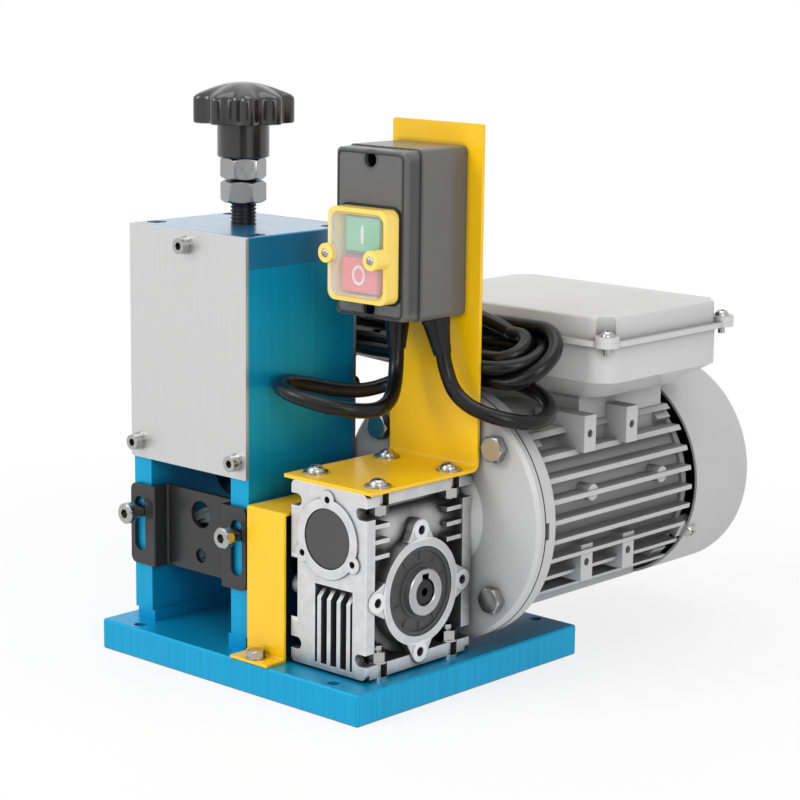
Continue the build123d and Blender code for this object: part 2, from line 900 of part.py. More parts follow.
# Gearbox housing: end plates, foot flanges, worm barrel and wheel chamber, open at the sides
box_left = worm_x - box_w / 2
box_right = worm_x + box_w / 2
box_front = drive_y - box_l / 2
box_back = drive_y + box_l / 2
box_bottom = base_t + foot_washer_t
box_top = box_bottom + box_h
box_mid_z = (box_bottom + box_top) / 2
face_right = worm_x + face_w / 2
face_left = worm_x - face_w / 2
right_plane = Plane.YZ.offset(face_right).shift_origin((face_right, drive_y, drive_z))
left_plane = Plane.YZ.offset(face_left).shift_origin((face_left, drive_y, drive_z))
front_plane = Plane.XZ.offset(-box_front).shift_origin((worm_x, box_front, worm_z))
back_plane = Plane((worm_x, box_back, worm_z), x_dir=(1, 0, 0), z_dir=(0, -1, 0))
chamber_half = face_w / 2 - seal_w - output_bearing_w
worm_bore_d = 2 * (worm_r + module + worm_play)
thread_front = drive_y - worm_len / 2 - 2.0
worm_front_y = thread_front - worm_front_w
worm_rear_y = drive_y + worm_len / 2 + 8.0
recess_x = worm_x + recess_side
recess_w = front_fin_pitch * front_fins - 1.0
recess_top = worm_z - cap_ring_d / 2 - recess_side
recess_bottom = box_bottom + recess_edge

with BuildPart() as gearbox_housing:
    for plate_y in (box_front, box_back - box_plate):
        with BuildSketch(Plane.XZ.offset(-plate_y)):
            with Locations((worm_x, box_mid_z)):
                RectangleRounded(box_w, box_h, recess_edge)
            for level in (box_bottom + foot_t + notch_h / 2, box_top - foot_t - notch_h / 2):
                with Locations((box_left, level), (box_right, level)):
                    SlotOverall(2 * notch_deep, notch_h, mode=Mode.SUBTRACT)
        extrude(amount=-box_plate)
    for level in (box_bottom, box_top - foot_t):
        with BuildSketch(Plane.XY.offset(level)):
            with Locations((worm_x, drive_y)):
                Rectangle(box_w, box_l - box_plate)
        extrude(amount=foot_t)
    with BuildSketch(Plane.XZ.offset(-box_front)):
        with Locations((worm_x, box_mid_z)):
            Rectangle(box_web, box_h - foot_t)
        with Locations((worm_x, worm_z)):
            Circle(barrel_d / 2)
    extrude(amount=-box_l)
    with BuildSketch(right_plane.offset(-wall_back)):
        Circle(chamber_wall_d / 2)
    extrude(amount=-(face_w - wall_back - cover_flange_t))
    with BuildSketch(right_plane):
        Circle(ring_d / 2)
        with PolarLocations(lug_pcd / 2, 4):
            Circle(lug_r)
    extrude(amount=-ring_deep)
    for i in range(3):
        with BuildSketch(Plane.XY.offset(drive_z + rib_low + i * rib_pitch)):
            with Locations((worm_x, box_front + rib_reach / 2), (worm_x, box_back - rib_reach / 2)):
                Rectangle(box_w - 1.5, rib_reach)
        extrude(amount=rib_t)
    with BuildSketch(front_plane):
        Circle(cap_ring_d / 2)
        with PolarLocations(cap_lug_pcd / 2, 3, start_angle=90):
            Circle(cap_lug_r)
    extrude(amount=cap_proud)
    with BuildSketch(Plane.XZ.offset(-box_front)):
        with Locations((recess_x, (recess_top + recess_bottom) / 2)):
            Rectangle(recess_w, recess_top - recess_bottom)
    extrude(amount=-front_recess, mode=Mode.SUBTRACT)
    for i in range(front_fins):
        fin_x = recess_x + (i - (front_fins - 1) / 2) * front_fin_pitch
        with BuildSketch(Plane.YZ.offset(fin_x - front_fin_t / 2)):
            with BuildLine():
                Polyline(
                    (box_front, recess_bottom),
                    (box_front, recess_top - front_recess - 1.0),
                    (box_front + front_recess + 1.0, recess_top + 1.0),
                    (box_front + front_recess + 1.0, recess_bottom),
                    close=True,
                )
            make_face()
        extrude(amount=front_fin_t)
    for level in (box_bottom, box_top - foot_t):
        with BuildSketch(Plane.XY.offset(level)):
            for x, y in stud_spots:
                outward = foot_slot if x > worm_x else -foot_slot
                with Locations((x + outward, y)):
                    SlotCenterToCenter(2 * foot_slot, foot_slot)
        extrude(amount=foot_t, mode=Mode.SUBTRACT)
    with BuildSketch(right_plane):
        Circle(seal_od / 2)
    extrude(amount=-seal_w, mode=Mode.SUBTRACT)
    with BuildSketch(right_plane):
        Circle(output_bearing_od / 2)
    extrude(amount=-(seal_w + output_bearing_w), mode=Mode.SUBTRACT)
    with BuildSketch(drive_plane):
        Circle(chamber_d / 2)
    extrude(amount=chamber_half, both=True, mode=Mode.SUBTRACT)
    with BuildSketch(left_plane):
        Circle(cover_spigot_d / 2 + run_fit)
    extrude(amount=cover_flange_t + cover_spigot, mode=Mode.SUBTRACT)
    with BuildSketch(left_plane):
        Circle(ring_d / 2 + lug_r + wall_back)
    extrude(amount=cover_flange_t, mode=Mode.SUBTRACT)
    with BuildSketch(front_plane):
        Circle(worm_bore_d / 2)
    extrude(amount=-box_l, mode=Mode.SUBTRACT)
    with BuildSketch(front_plane.offset(cap_proud)):
        Circle(cap_d / 2)
    extrude(amount=-(cap_t + cap_proud), mode=Mode.SUBTRACT)
    with BuildSketch(front_plane):
        Circle(worm_front_od / 2)
    extrude(amount=-(thread_front - box_front), mode=Mode.SUBTRACT)
    with BuildSketch(back_plane):
        Circle(worm_rear_od / 2)
    extrude(amount=box_back - worm_rear_y, mode=Mode.SUBTRACT)
    with BuildSketch(right_plane):
        with PolarLocations(lug_pcd / 2, 4):
            Circle(lug_bore_d / 2)
    extrude(amount=-lug_deep, mode=Mode.SUBTRACT)
    with BuildSketch(front_plane.offset(cap_proud)):
        with PolarLocations(cap_lug_pcd / 2, 3, start_angle=90):
            Circle(cap_lug_r * 0.4)
    extrude(amount=-lug_deep, mode=Mode.SUBTRACT)
save(gearbox_housing.part, "gearbox_housing")

# Left cover of the gearbox with its spigot, bearing seat and seal seat
with BuildPart() as gearbox_cover:
    with BuildSketch(left_plane):
        Circle(ring_d / 2)
        with PolarLocations(lug_pcd / 2, 4):
            Circle(lug_r)
            Circle(lug_bore_d / 2, mode=Mode.SUBTRACT)
    extrude(amount=cover_flange_t - run_fit)
    with BuildSketch(left_plane):
        Circle(cover_spigot_d / 2)
    extrude(amount=cover_flange_t + cover_spigot - seat_gap)
    with BuildSketch(left_plane):
        Circle(seal_od / 2)
    extrude(amount=seal_w, mode=Mode.SUBTRACT)
    with BuildSketch(left_plane):
        Circle(output_bearing_od / 2)
    extrude(amount=cover_flange_t + cover_spigot, mode=Mode.SUBTRACT)
save(gearbox_cover.part, "gearbox_cover")

# Hollow output shaft and the bronze worm wheel on its flange
with BuildPart() as output_hub:
    with BuildSketch(drive_plane):
        Circle(hub_d / 2)
    extrude(amount=hub_len / 2, both=True)
    with BuildSketch(drive_plane):
        Circle(hub_shoulder_d / 2)
    extrude(amount=chamber_half - seat_gap, both=True)
    with BuildSketch(drive_plane):
        Circle(hub_flange_d / 2)
    extrude(amount=wheel_w / 2, both=True)
    with BuildSketch(drive_plane):
        bore_with_keyway(shaft_d / 2 + run_fit)
    extrude(amount=hub_len / 2, both=True, mode=Mode.SUBTRACT)
    chamfer(output_hub.edges().group_by(Axis.X)[0], 0.5)
    chamfer(output_hub.edges().group_by(Axis.X)[-1], 0.5)
save(output_hub.part, "output_hub")

# Wheel teeth: tilted trapezoidal spaces cut round the rim, one of them under the worm
lead_angle = atan(lead / (2 * pi * worm_r))
flank = tan(radians(pressure))
space_half = lead / 4 + backlash / 4
space_deep = module * 1.25
wheel_outer_r = wheel_r + module * 0.9
space_plane = Plane(
    origin=(worm_x, drive_y, drive_z),
    x_dir=(sin(lead_angle), cos(lead_angle), 0),
    z_dir=(cos(lead_angle), -sin(lead_angle), 0),
)
with BuildPart() as wheel_space:
    with BuildSketch(space_plane):
        with BuildLine():
            bottom = wheel_r - space_deep
            top = wheel_outer_r + 1.0
            wide = space_half + (top - wheel_r) * flank
            narrow = space_half - space_deep * flank
            Polyline((-narrow, bottom), (-wide, top), (wide, top), (narrow, bottom), close=True)
        make_face()
    extrude(amount=wheel_w, both=True)
with BuildPart() as worm_wheel:
    with BuildSketch(drive_plane):
        Circle(wheel_outer_r)
        Circle(hub_flange_d / 2 + run_fit, mode=Mode.SUBTRACT)
    extrude(amount=wheel_w / 2, both=True)
    spaces = [
        wheel_space.part.rotate(Axis((worm_x, drive_y, drive_z), (1, 0, 0)), i * 360 / teeth)
        for i in range(teeth)
    ]
    add(spaces, mode=Mode.SUBTRACT)
save(worm_wheel.part, "worm_wheel")

# Worm: a stepped hollow shaft with one helical thread
crest_half = lead / 4 - backlash / 4 - module * 0.9 * flank
root_half = lead / 4 - backlash / 4 + module * 1.2 * flank
worm_root_r = worm_r - module * 1.2
worm_crest_r = worm_r + module * 0.9
worm_back = box_back + flange_step
motor_bore_deep = 18.0
with BuildPart() as worm:
    with BuildSketch(Plane.YZ.offset(worm_x)):
        with BuildLine():
            Polyline(
                (worm_front_y + 0.5, worm_z),
                (worm_front_y + 0.5, worm_z + worm_front_d / 2),
                (thread_front, worm_z + worm_front_d / 2),
                (thread_front, worm_z + worm_root_r),
                (worm_rear_y - 3.0, worm_z + worm_root_r),
                (worm_rear_y - 3.0, worm_z + worm_rear_d / 2),
                (worm_back, worm_z + worm_rear_d / 2),
                (worm_back, worm_z),
                close=True,
            )
        make_face()
    revolve(axis=Axis((worm_x, 0, worm_z), (0, 1, 0)))
    with BuildSketch(back_plane.offset(-flange_step)):
        Circle(motor_shaft_d / 2 + run_fit)
    extrude(amount=motor_bore_deep, mode=Mode.SUBTRACT)
with BuildPart() as thread:
    with BuildLine():
        helix = Helix(lead, worm_len, worm_root_r, mode=Mode.PRIVATE)
        add(helix)
    with BuildSketch(Plane(origin=(worm_root_r, 0, 0), x_dir=(1, 0, 0), z_dir=helix % 0)):
        with BuildLine():
            Polyline(
                (-0.3, -root_half),
                (0, -root_half),
                (worm_crest_r - worm_root_r, -crest_half),
                (worm_crest_r - worm_root_r, crest_half),
                (0, root_half),
                (-0.3, root_half),
                close=True,
            )
        make_face()
    sweep(is_frenet=True)
thread_turn = 90 - 360 * (worm_len / 2) / lead
thread_start = Location((worm_x, drive_y - worm_len / 2, worm_z), (-90, 0, 0))
threaded = worm.part + thread_start * Location((0, 0, 0), (0, 0, thread_turn)) * thread.part
save(threaded, "worm")

# Gearbox bearings, seals and the cap in front of the worm
output_bearing = bearing(output_bearing_od, hub_d, output_bearing_w)
output_places = [
    Location((face_right - seal_w - output_bearing_w, drive_y, drive_z), (0, 90, 0)),
    Location((face_left + seal_w, drive_y, drive_z), (0, 90, 0)),
]
save(group(output_bearing, output_places), "output_bearings")

with BuildPart() as output_seal:
    with BuildSketch():
        Circle(seal_od / 2 - run_fit)
        Circle(hub_d / 2 + run_fit, mode=Mode.SUBTRACT)
    extrude(amount=seal_w - 0.5)
    with BuildSketch(Plane.XY.offset(seal_w - 0.5)):
        Circle(seal_od / 2 - 2.5)
        Circle(hub_d / 2 + 2.0, mode=Mode.SUBTRACT)
    extrude(amount=-1.0, mode=Mode.SUBTRACT)
    with BuildSketch(Plane.XY.offset(seal_w - 1.5)):
        with PolarLocations((seal_od + hub_d) / 4 + 0.5, seal_ribs):
            Rectangle(4.0, 1.2)
    extrude(amount=0.8)
seal_places = [
    Location((face_right - seal_w, drive_y, drive_z), (0, 90, 0)),
    Location((face_left + seal_w, drive_y, drive_z), (0, -90, 0)),
]
save(group(output_seal.part, seal_places), "output_seals")

worm_front_bearing = bearing(worm_front_od, worm_front_d, worm_front_w)
worm_rear_bearing = bearing(worm_rear_od, worm_rear_d, worm_rear_w)
with BuildPart() as worm_bearings:
    with Locations(Location((worm_x, worm_front_y, worm_z), (-90, 0, 0))):
        add(worm_front_bearing)
    with Locations(Location((worm_x, worm_rear_y, worm_z), (-90, 0, 0))):
        add(worm_rear_bearing)
save(worm_bearings.part, "worm_bearings")

with BuildPart() as worm_cap:
    with BuildSketch(front_plane.offset(-cap_t)):
        Circle(cap_d / 2 - run_fit)
    extrude(amount=cap_t + cap_proud - 0.4)
    fillet(worm_cap.edges().group_by(Axis.Y)[0], 1.0)
save(worm_cap.part, "worm_cap")

# Studs that hold the gearbox down: stud, washer under the foot, washer and nut on it
foot_top = box_bottom + foot_t
with BuildPart() as gearbox_stud:
    with BuildSketch(Plane.XY.offset(base_t - stud_sunk)):
        Circle(m6_d / 2 - run_fit)
    extrude(amount=stud_sunk + foot_washer_t + foot_t + washer_t + stud_nut_h + stud_over)
    with BuildSketch(Plane.XY.offset(base_t)):
        Circle(stud_washer_d / 2)
    extrude(amount=foot_washer_t)
    with BuildSketch(Plane.XY.offset(foot_top)):
        Circle(stud_washer_d / 2)
    extrude(amount=washer_t)
    with BuildSketch(Plane.XY.offset(foot_top + washer_t)):
        RegularPolygon(stud_flats / 2 / cos(pi / 6), 6)
    extrude(amount=stud_nut_h)
save(group(gearbox_stud.part, [Location((x, y, 0)) for x, y in stud_spots]), "gearbox_studs")

# Input flange between the gearbox and the motor, dished so that the switch plate clears it
flange_front = box_back + flange_step
flange_back = flange_front + flange_t
motor_axis = Axis((worm_x, 0, worm_z), (0, 1, 0))
with BuildPart() as input_flange:
    with BuildSketch(Plane.YZ.offset(worm_x)):
        with BuildLine():
            Polyline(
                (box_back, worm_z + worm_rear_d / 2 + 1.0),
                (box_back, worm_z + flange_hub_d / 2),
                (flange_front, worm_z + flange_hub_d / 2 + 6.0),
                (flange_front, worm_z + flange_d / 2 - 2.0),
                (flange_front + 2.0, worm_z + flange_d / 2),
                (flange_back, worm_z + flange_d / 2),
                (flange_back, worm_z + spigot_d / 2 + run_fit),
                (flange_back - spigot_h - slide_fit, worm_z + spigot_d / 2 + run_fit),
                (flange_back - spigot_h - slide_fit, worm_z + worm_rear_d / 2 + 1.0),
                close=True,
            )
        make_face()
    revolve(axis=motor_axis)
    with BuildSketch(back_plane.offset(-flange_step)):
        with PolarLocations(flange_pcd / 2, 4, start_angle=45):
            Circle(flange_bolt_d / 2 + run_fit)
    extrude(amount=-flange_t, mode=Mode.SUBTRACT)
save(input_flange.part, "input_flange")

with BuildPart() as flange_bolt:
    add(hex_prism(flange_bolt_flats, flange_bolt_h))
    with BuildSketch():
        Circle(flange_bolt_d / 2 - run_fit)
    extrude(amount=-(flange_t + shield_rim - 1.0))
bolt_places = []
for i in range(4):
    angle = radians(45 + 90 * i)
    bolt_x = worm_x + flange_pcd / 2 * cos(angle)
    bolt_z = worm_z + flange_pcd / 2 * sin(angle)
    bolt_places.append(Location((bolt_x, flange_front, bolt_z), (90, 0, 0)))
save(group(flange_bolt.part, bolt_places), "flange_bolts")

# Motor end shield with its flange, spigot, register and bearing seat
shield_back = flange_back + shield_t
bearing_front_y = flange_back + 4.0
with BuildPart() as motor_shield:
    with BuildSketch(Plane.YZ.offset(worm_x)):
        with BuildLine():
            Polyline(
                (flange_back - spigot_h, worm_z + journal_d / 2 + 1.5),
                (flange_back - spigot_h, worm_z + spigot_d / 2),
                (flange_back, worm_z + spigot_d / 2),
                (flange_back, worm_z + flange_d / 2),
                (flange_back + shield_rim - 2.0, worm_z + flange_d / 2),
                (flange_back + shield_rim, worm_z + flange_d / 2 - 2.0),
                (flange_back + shield_rim, worm_z + frame_fin_d / 2),
                (shield_back, worm_z + frame_fin_d / 2 - 1.5),
                (shield_back, worm_z + frame_bore / 2),
                (shield_back + register, worm_z + frame_bore / 2 - run_fit),
                (shield_back + register, worm_z + frame_bore / 2 - 3.0),
                (flange_back + 5.0, worm_z + frame_bore / 2 - 8.0),
                (flange_back + 5.0, worm_z + motor_bearing_od / 2 + 5.0),
                (bearing_front_y + motor_bearing_w, worm_z + motor_bearing_od / 2 + 3.5),
                (bearing_front_y + motor_bearing_w, worm_z + motor_bearing_od / 2),
                (bearing_front_y, worm_z + motor_bearing_od / 2),
                (bearing_front_y, worm_z + journal_d / 2 + 1.5),
                close=True,
            )
        make_face()
    revolve(axis=motor_axis)
    with BuildSketch(back_plane.offset(-flange_step - flange_t)):
        with PolarLocations(flange_pcd / 2, 4, start_angle=45):
            Circle(flange_bolt_d / 2 + run_fit)
    extrude(amount=-shield_rim, mode=Mode.SUBTRACT)
    with BuildSketch(Plane.YZ.offset(worm_x + flange_d / 2 - 3.0)):
        with Locations((flange_back + 1.5, worm_z)):
            Rectangle(3.0, 9.0)
    extrude(amount=5.0, mode=Mode.SUBTRACT)
save(motor_shield.part, "motor_shield")

# Finned motor frame with the pad of the terminal box and the bosses for feet
frame_back = shield_back + frame_len
pad_z = worm_z + frame_fin_d / 2 - 2.0
with BuildPart() as motor_frame:
    with BuildSketch(back_plane.offset(-(shield_back - box_back))):
        Circle(frame_bore / 2 + frame_wall)
        for i in range(frame_fins):
            fin_z = (i - (frame_fins - 1) / 2) * frame_fin_pitch
            with Locations((0, fin_z)):
                Rectangle(frame_fin_d, frame_fin_t)
        for i in range(under_fins):
            fin_x = (i - (under_fins - 1) / 2) * frame_fin_pitch
            with Locations((fin_x, -frame_fin_d / 4)):
                Rectangle(frame_fin_t, frame_fin_d / 2)
        Circle(frame_fin_d / 2, mode=Mode.INTERSECT)
    extrude(amount=-frame_len)
    with BuildSketch(back_plane.offset(-(shield_back - box_back))):
        Circle(frame_fin_d / 2)
    extrude(amount=-frame_band)
    with BuildSketch(Plane.XY.offset(worm_z)):
        with Locations((worm_x, tbox_y)):
            Rectangle(pad_w, tbox_foot_d - 6.0)
    extrude(amount=pad_z - worm_z)
    for side in (-1, 1):
        for j in (0, 1):
            for level in boss_levels:
                with BuildSketch(Plane.YZ.offset(worm_x + side * boss_out)):
                    with Locations((shield_back + boss_start + j * boss_pitch, worm_z + level)):
                        Rectangle(boss_w, boss_h)
                extrude(amount=-side * boss_out * 0.6)
                with BuildSketch(Plane.YZ.offset(worm_x + side * boss_out)):
                    with Locations((shield_back + boss_start + j * boss_pitch, worm_z + level)):
                        Circle(boss_hole_d / 2)
                extrude(amount=-side * m4_len, mode=Mode.SUBTRACT)
        with BuildSketch(Plane.YZ.offset(worm_x + side * fin_boss_out)):
            with Locations(*[(y, worm_z + frame_fin_pitch) for y in fin_boss_y]):
                Circle(fin_boss_d / 2)
        extrude(amount=-side * (fin_boss_out - frame_bore / 2))
    for end_y, inward in ((shield_back, -1), (frame_back, 1)):
        with BuildSketch(back_plane.offset(-(end_y - box_back))):
            with PolarLocations(frame_bore / 2 + frame_wall + tie_block_t / 4, 4, start_angle=45):
                Rectangle(tie_block_t, tie_block_w)
        extrude(amount=inward * tie_block_len)
    with BuildSketch(back_plane.offset(-(shield_back - box_back))):
        Circle(frame_bore / 2)
    extrude(amount=-frame_len, mode=Mode.SUBTRACT)
    with BuildSketch(Plane.XY.offset(worm_z + frame_bore / 2 - 5.0)):
        with Locations((worm_x - lead_hole_x, tbox_y)):
            Circle(lead_hole_d / 2)
    extrude(amount=30.0, mode=Mode.SUBTRACT)
save(motor_frame.part, "motor_frame")

# Stator pack with its coil heads, and the rotor on its stepped shaft
stack_y = shield_back + (frame_len - stack_len) / 2 - 2.0
with BuildPart() as stator:
    with BuildSketch(Plane.YZ.offset(worm_x)):
        with BuildLine():
            Polyline(
                (stack_y - coil_head, worm_z + stator_bore / 2 + 2.0),
                (stack_y, worm_z + stator_bore / 2 + 2.0),
                (stack_y, worm_z + stator_bore / 2),
                (stack_y + stack_len, worm_z + stator_bore / 2),
                (stack_y + stack_len, worm_z + stator_bore / 2 + 2.0),
                (stack_y + stack_len + coil_head, worm_z + stator_bore / 2 + 2.0),
                (stack_y + stack_len + coil_head, worm_z + frame_bore / 2 - 5.0),
                (stack_y + stack_len, worm_z + frame_bore / 2 - 3.0),
                (stack_y + stack_len, worm_z + frame_bore / 2 - run_fit),
                (stack_y, worm_z + frame_bore / 2 - run_fit),
                (stack_y, worm_z + frame_bore / 2 - 3.0),
                (stack_y - coil_head, worm_z + frame_bore / 2 - 5.0),
                close=True,
            )
        make_face()
    revolve(axis=motor_axis)
save(stator.part, "stator")

bearing_rear_y = frame_back + 2.0
rear_shield_back = frame_back + rear_shield_t
fan_y = rear_shield_back + 6.0
shaft_tip_y = worm_back - motor_bore_deep + 1.0
rotor_r = stator_bore / 2 - rotor_gap
with BuildPart() as rotor:
    with BuildSketch(Plane.YZ.offset(worm_x)):
        with BuildLine():
            Polyline(
                (shaft_tip_y, worm_z),
                (shaft_tip_y, worm_z + motor_shaft_d / 2),
                (bearing_front_y, worm_z + motor_shaft_d / 2),
                (bearing_front_y, worm_z + journal_d / 2),
                (bearing_front_y + motor_bearing_w, worm_z + journal_d / 2),
                (bearing_front_y + motor_bearing_w, worm_z + journal_d / 2 + 1.5),
                (stack_y - 6.0, worm_z + journal_d / 2 + 1.5),
                (stack_y - 6.0, worm_z + rotor_r - 3.0),
                (stack_y, worm_z + rotor_r - 3.0),
                (stack_y, worm_z + rotor_r),
                (stack_y + stack_len, worm_z + rotor_r),
                (stack_y + stack_len, worm_z + rotor_r - 3.0),
                (stack_y + stack_len + 6.0, worm_z + rotor_r - 3.0),
                (stack_y + stack_len + 6.0, worm_z + journal_d / 2 + 1.5),
                (bearing_rear_y, worm_z + journal_d / 2 + 1.5),
                (bearing_rear_y, worm_z + journal_d / 2),
                (fan_y + fan_w, worm_z + journal_d / 2),
                (fan_y + fan_w, worm_z),
                close=True,
            )
        make_face()
    revolve(axis=motor_axis)
save(rotor.part, "rotor")

motor_bearing = bearing(motor_bearing_od, journal_d, motor_bearing_w)
motor_bearing_places = [
    Location((worm_x, bearing_front_y, worm_z), (-90, 0, 0)),
    Location((worm_x, bearing_rear_y, worm_z), (-90, 0, 0)),
]
save(group(motor_bearing, motor_bearing_places), "motor_bearings")

shield_disc_r = frame_bore / 2 + frame_wall + shield_lip
cowl_lug_r = frame_fin_d / 2 - cowl_wall - seat_gap
cowl_lug_t = cowl_lug_r - shield_disc_r + cowl_lug_root
lug_mid_r = cowl_lug_r - cowl_lug_t / 2
screw_ring_y = frame_back + air_gap + cowl_lug_in / 2


def cowl_screw_plane(angle):
    """Plane on the cowl's skin at one of its screws, facing outwards."""
    out = (cos(radians(angle)), 0, sin(radians(angle)))
    skin = frame_fin_d / 2
    return Plane((worm_x + skin * out[0], screw_ring_y, worm_z + skin * out[2]), x_dir=(0, 1, 0), z_dir=out)


with BuildPart() as rear_shield:
    with BuildSketch(Plane.YZ.offset(worm_x)):
        with BuildLine():
            Polyline(
                (frame_back - register, worm_z + frame_bore / 2 - 4.0),
                (frame_back - register, worm_z + frame_bore / 2 - run_fit),
                (frame_back, worm_z + frame_bore / 2 - run_fit),
                (frame_back, worm_z + shield_disc_r),
                (frame_back + 4.0, worm_z + shield_disc_r),
                (rear_shield_back, worm_z + motor_bearing_od / 2 + 12.0),
                (rear_shield_back, worm_z + journal_d / 2 + 1.5),
                (bearing_rear_y + motor_bearing_w, worm_z + journal_d / 2 + 1.5),
                (bearing_rear_y + motor_bearing_w, worm_z + motor_bearing_od / 2),
                (bearing_rear_y, worm_z + motor_bearing_od / 2),
                (bearing_rear_y, worm_z + motor_bearing_od / 2 + 4.0),
                close=True,
            )
        make_face()
    revolve(axis=motor_axis)
    for angle in cowl_angles:
        lug_spot = (worm_x + cos(radians(angle)) * lug_mid_r, worm_z + sin(radians(angle)) * lug_mid_r)
        with BuildSketch(Plane.XZ.offset(-frame_back)):
            with Locations(lug_spot):
                Rectangle(cowl_lug_t, cowl_lug_w, rotation=angle)
        extrude(amount=-(air_gap + cowl_lug_in))
        with BuildSketch(cowl_screw_plane(angle)):
            Circle(m4_d / 2)
        extrude(amount=-m4_len, mode=Mode.SUBTRACT)
save(rear_shield.part, "rear_shield")

# Fan and its cowl with a slotted back
with BuildPart() as fan:
    with BuildSketch(back_plane.offset(-(fan_y - box_back))):
        Circle(journal_d / 2 + 5.0)
    extrude(amount=-fan_w)
    with BuildSketch(back_plane.offset(-(fan_y - box_back))):
        Circle(fan_d / 2)
    extrude(amount=-fan_disc_t)
    with BuildSketch(back_plane.offset(-(fan_y - box_back))):
        with PolarLocations(fan_d / 4 + 3.0, fan_blades):
            Rectangle(fan_d / 2 - 8.0, fan_disc_t)
    extrude(amount=-fan_w)
    with BuildSketch(back_plane.offset(-(fan_y - box_back))):
        Circle(journal_d / 2 + run_fit)
    extrude(amount=-fan_w, mode=Mode.SUBTRACT)
save(fan.part, "fan")

cowl_front = frame_back + air_gap
cowl_back = cowl_front + cowl_len
with BuildPart() as fan_cowl:
    with BuildSketch(Plane.YZ.offset(worm_x)):
        with BuildLine():
            Polyline(
                (cowl_front, worm_z + frame_fin_d / 2),
                (cowl_back - cowl_round, worm_z + frame_fin_d / 2),
                (cowl_back, worm_z + frame_fin_d / 2 - cowl_round),
                (cowl_back, worm_z),
                (cowl_back - cowl_wall, worm_z),
                (cowl_back - cowl_wall, worm_z + frame_fin_d / 2 - cowl_round - 0.6),
                (cowl_back - cowl_round - 0.6, worm_z + frame_fin_d / 2 - cowl_wall),
                (cowl_front, worm_z + frame_fin_d / 2 - cowl_wall),
                close=True,
            )
        make_face()
    revolve(axis=motor_axis)
    with BuildSketch(back_plane.offset(-(cowl_back - box_back))):
        with PolarLocations(grille_r, grille_slots):
            SlotOverall(grille_len, grille_w)
    extrude(amount=cowl_wall + 1.0, mode=Mode.SUBTRACT)
    for angle in cowl_angles:
        with BuildSketch(cowl_screw_plane(angle)):
            Circle(m4_d / 2)
        extrude(amount=-cowl_wall - 1.0, mode=Mode.SUBTRACT)
save(fan_cowl.part, "fan_cowl")

# Terminal box on the motor's pad: a tapered tray with a lip and four screw ears
tray_mid = (worm_x, tbox_y)
lid_round = tbox_round + lip_out
ear_x = tbox_w / 2 - 1.0
ear_y = tbox_d / 2 - 1.0
ear_spots = [(worm_x + i * ear_x, tbox_y + j * ear_y) for i in (-1, 1) for j in (-1, 1)]
gland_face_x = worm_x - tbox_w / 2 - 1.0
with BuildPart() as terminal_box:
    with BuildSketch(Plane.XY.offset(pad_z)):
        with Locations(tray_mid):
            RectangleRounded(tbox_foot_w, tbox_foot_d, tbox_round)
    with BuildSketch(Plane.XY.offset(tray_knee_z)):
        with Locations(tray_mid):
            RectangleRounded(tbox_w, tbox_d, tbox_round)
    loft()
    with BuildSketch(Plane.XY.offset(tray_knee_z)):
        with Locations(tray_mid):
            RectangleRounded(tbox_w, tbox_d, tbox_round)
    extrude(amount=seam_z - lip_t - tray_knee_z)
    with BuildSketch(Plane.XY.offset(seam_z - lip_t)):
        with Locations(tray_mid):
            RectangleRounded(tbox_w + 2 * lip_out, tbox_d + 2 * lip_out, lid_round)
        with Locations(*ear_spots):
            Circle(ear_r)
    extrude(amount=lip_t)
    with BuildSketch(Plane.YZ.offset(gland_face_x)):
        with Locations((gland_y, gland_z)):
            Circle(gland_flats / 2 + 1.0)
    extrude(amount=tbox_w / 8)
    with BuildSketch(Plane.XY.offset(pad_z + tbox_wall)):
        with Locations(tray_mid):
            RectangleRounded(tbox_foot_w - 2 * tbox_wall, tbox_foot_d - 2 * tbox_wall, tbox_round - tbox_wall)
    with BuildSketch(Plane.XY.offset(tray_knee_z + tbox_wall / 2)):
        with Locations(tray_mid):
            RectangleRounded(tbox_w - 2 * tbox_wall, tbox_d - 2 * tbox_wall, tbox_round - tbox_wall)
    loft(mode=Mode.SUBTRACT)
    with BuildSketch(Plane.XY.offset(seam_z)):
        with Locations(tray_mid):
            RectangleRounded(tbox_w - 2 * tbox_wall, tbox_d - 2 * tbox_wall, tbox_round - tbox_wall)
    extrude(amount=-(seam_z - tray_knee_z - tbox_wall / 2), mode=Mode.SUBTRACT)
    with BuildSketch(Plane.YZ.offset(gland_face_x)):
        with Locations((gland_y, gland_z)):
            Circle(gland_d / 2 + run_fit)
    extrude(amount=tbox_w / 4, mode=Mode.SUBTRACT)
    with BuildSketch(Plane.XY.offset(pad_z)):
        with Locations((worm_x - lead_hole_x, tbox_y)):
            Circle(lead_hole_d / 2)
    extrude(amount=tbox_wall, mode=Mode.SUBTRACT)
    with BuildSketch(Plane.XY.offset(seam_z)):
        with Locations(*ear_spots):
            Circle(m4_d / 2)
    extrude(amount=-lip_t, mode=Mode.SUBTRACT)
save(terminal_box.part, "terminal_box")

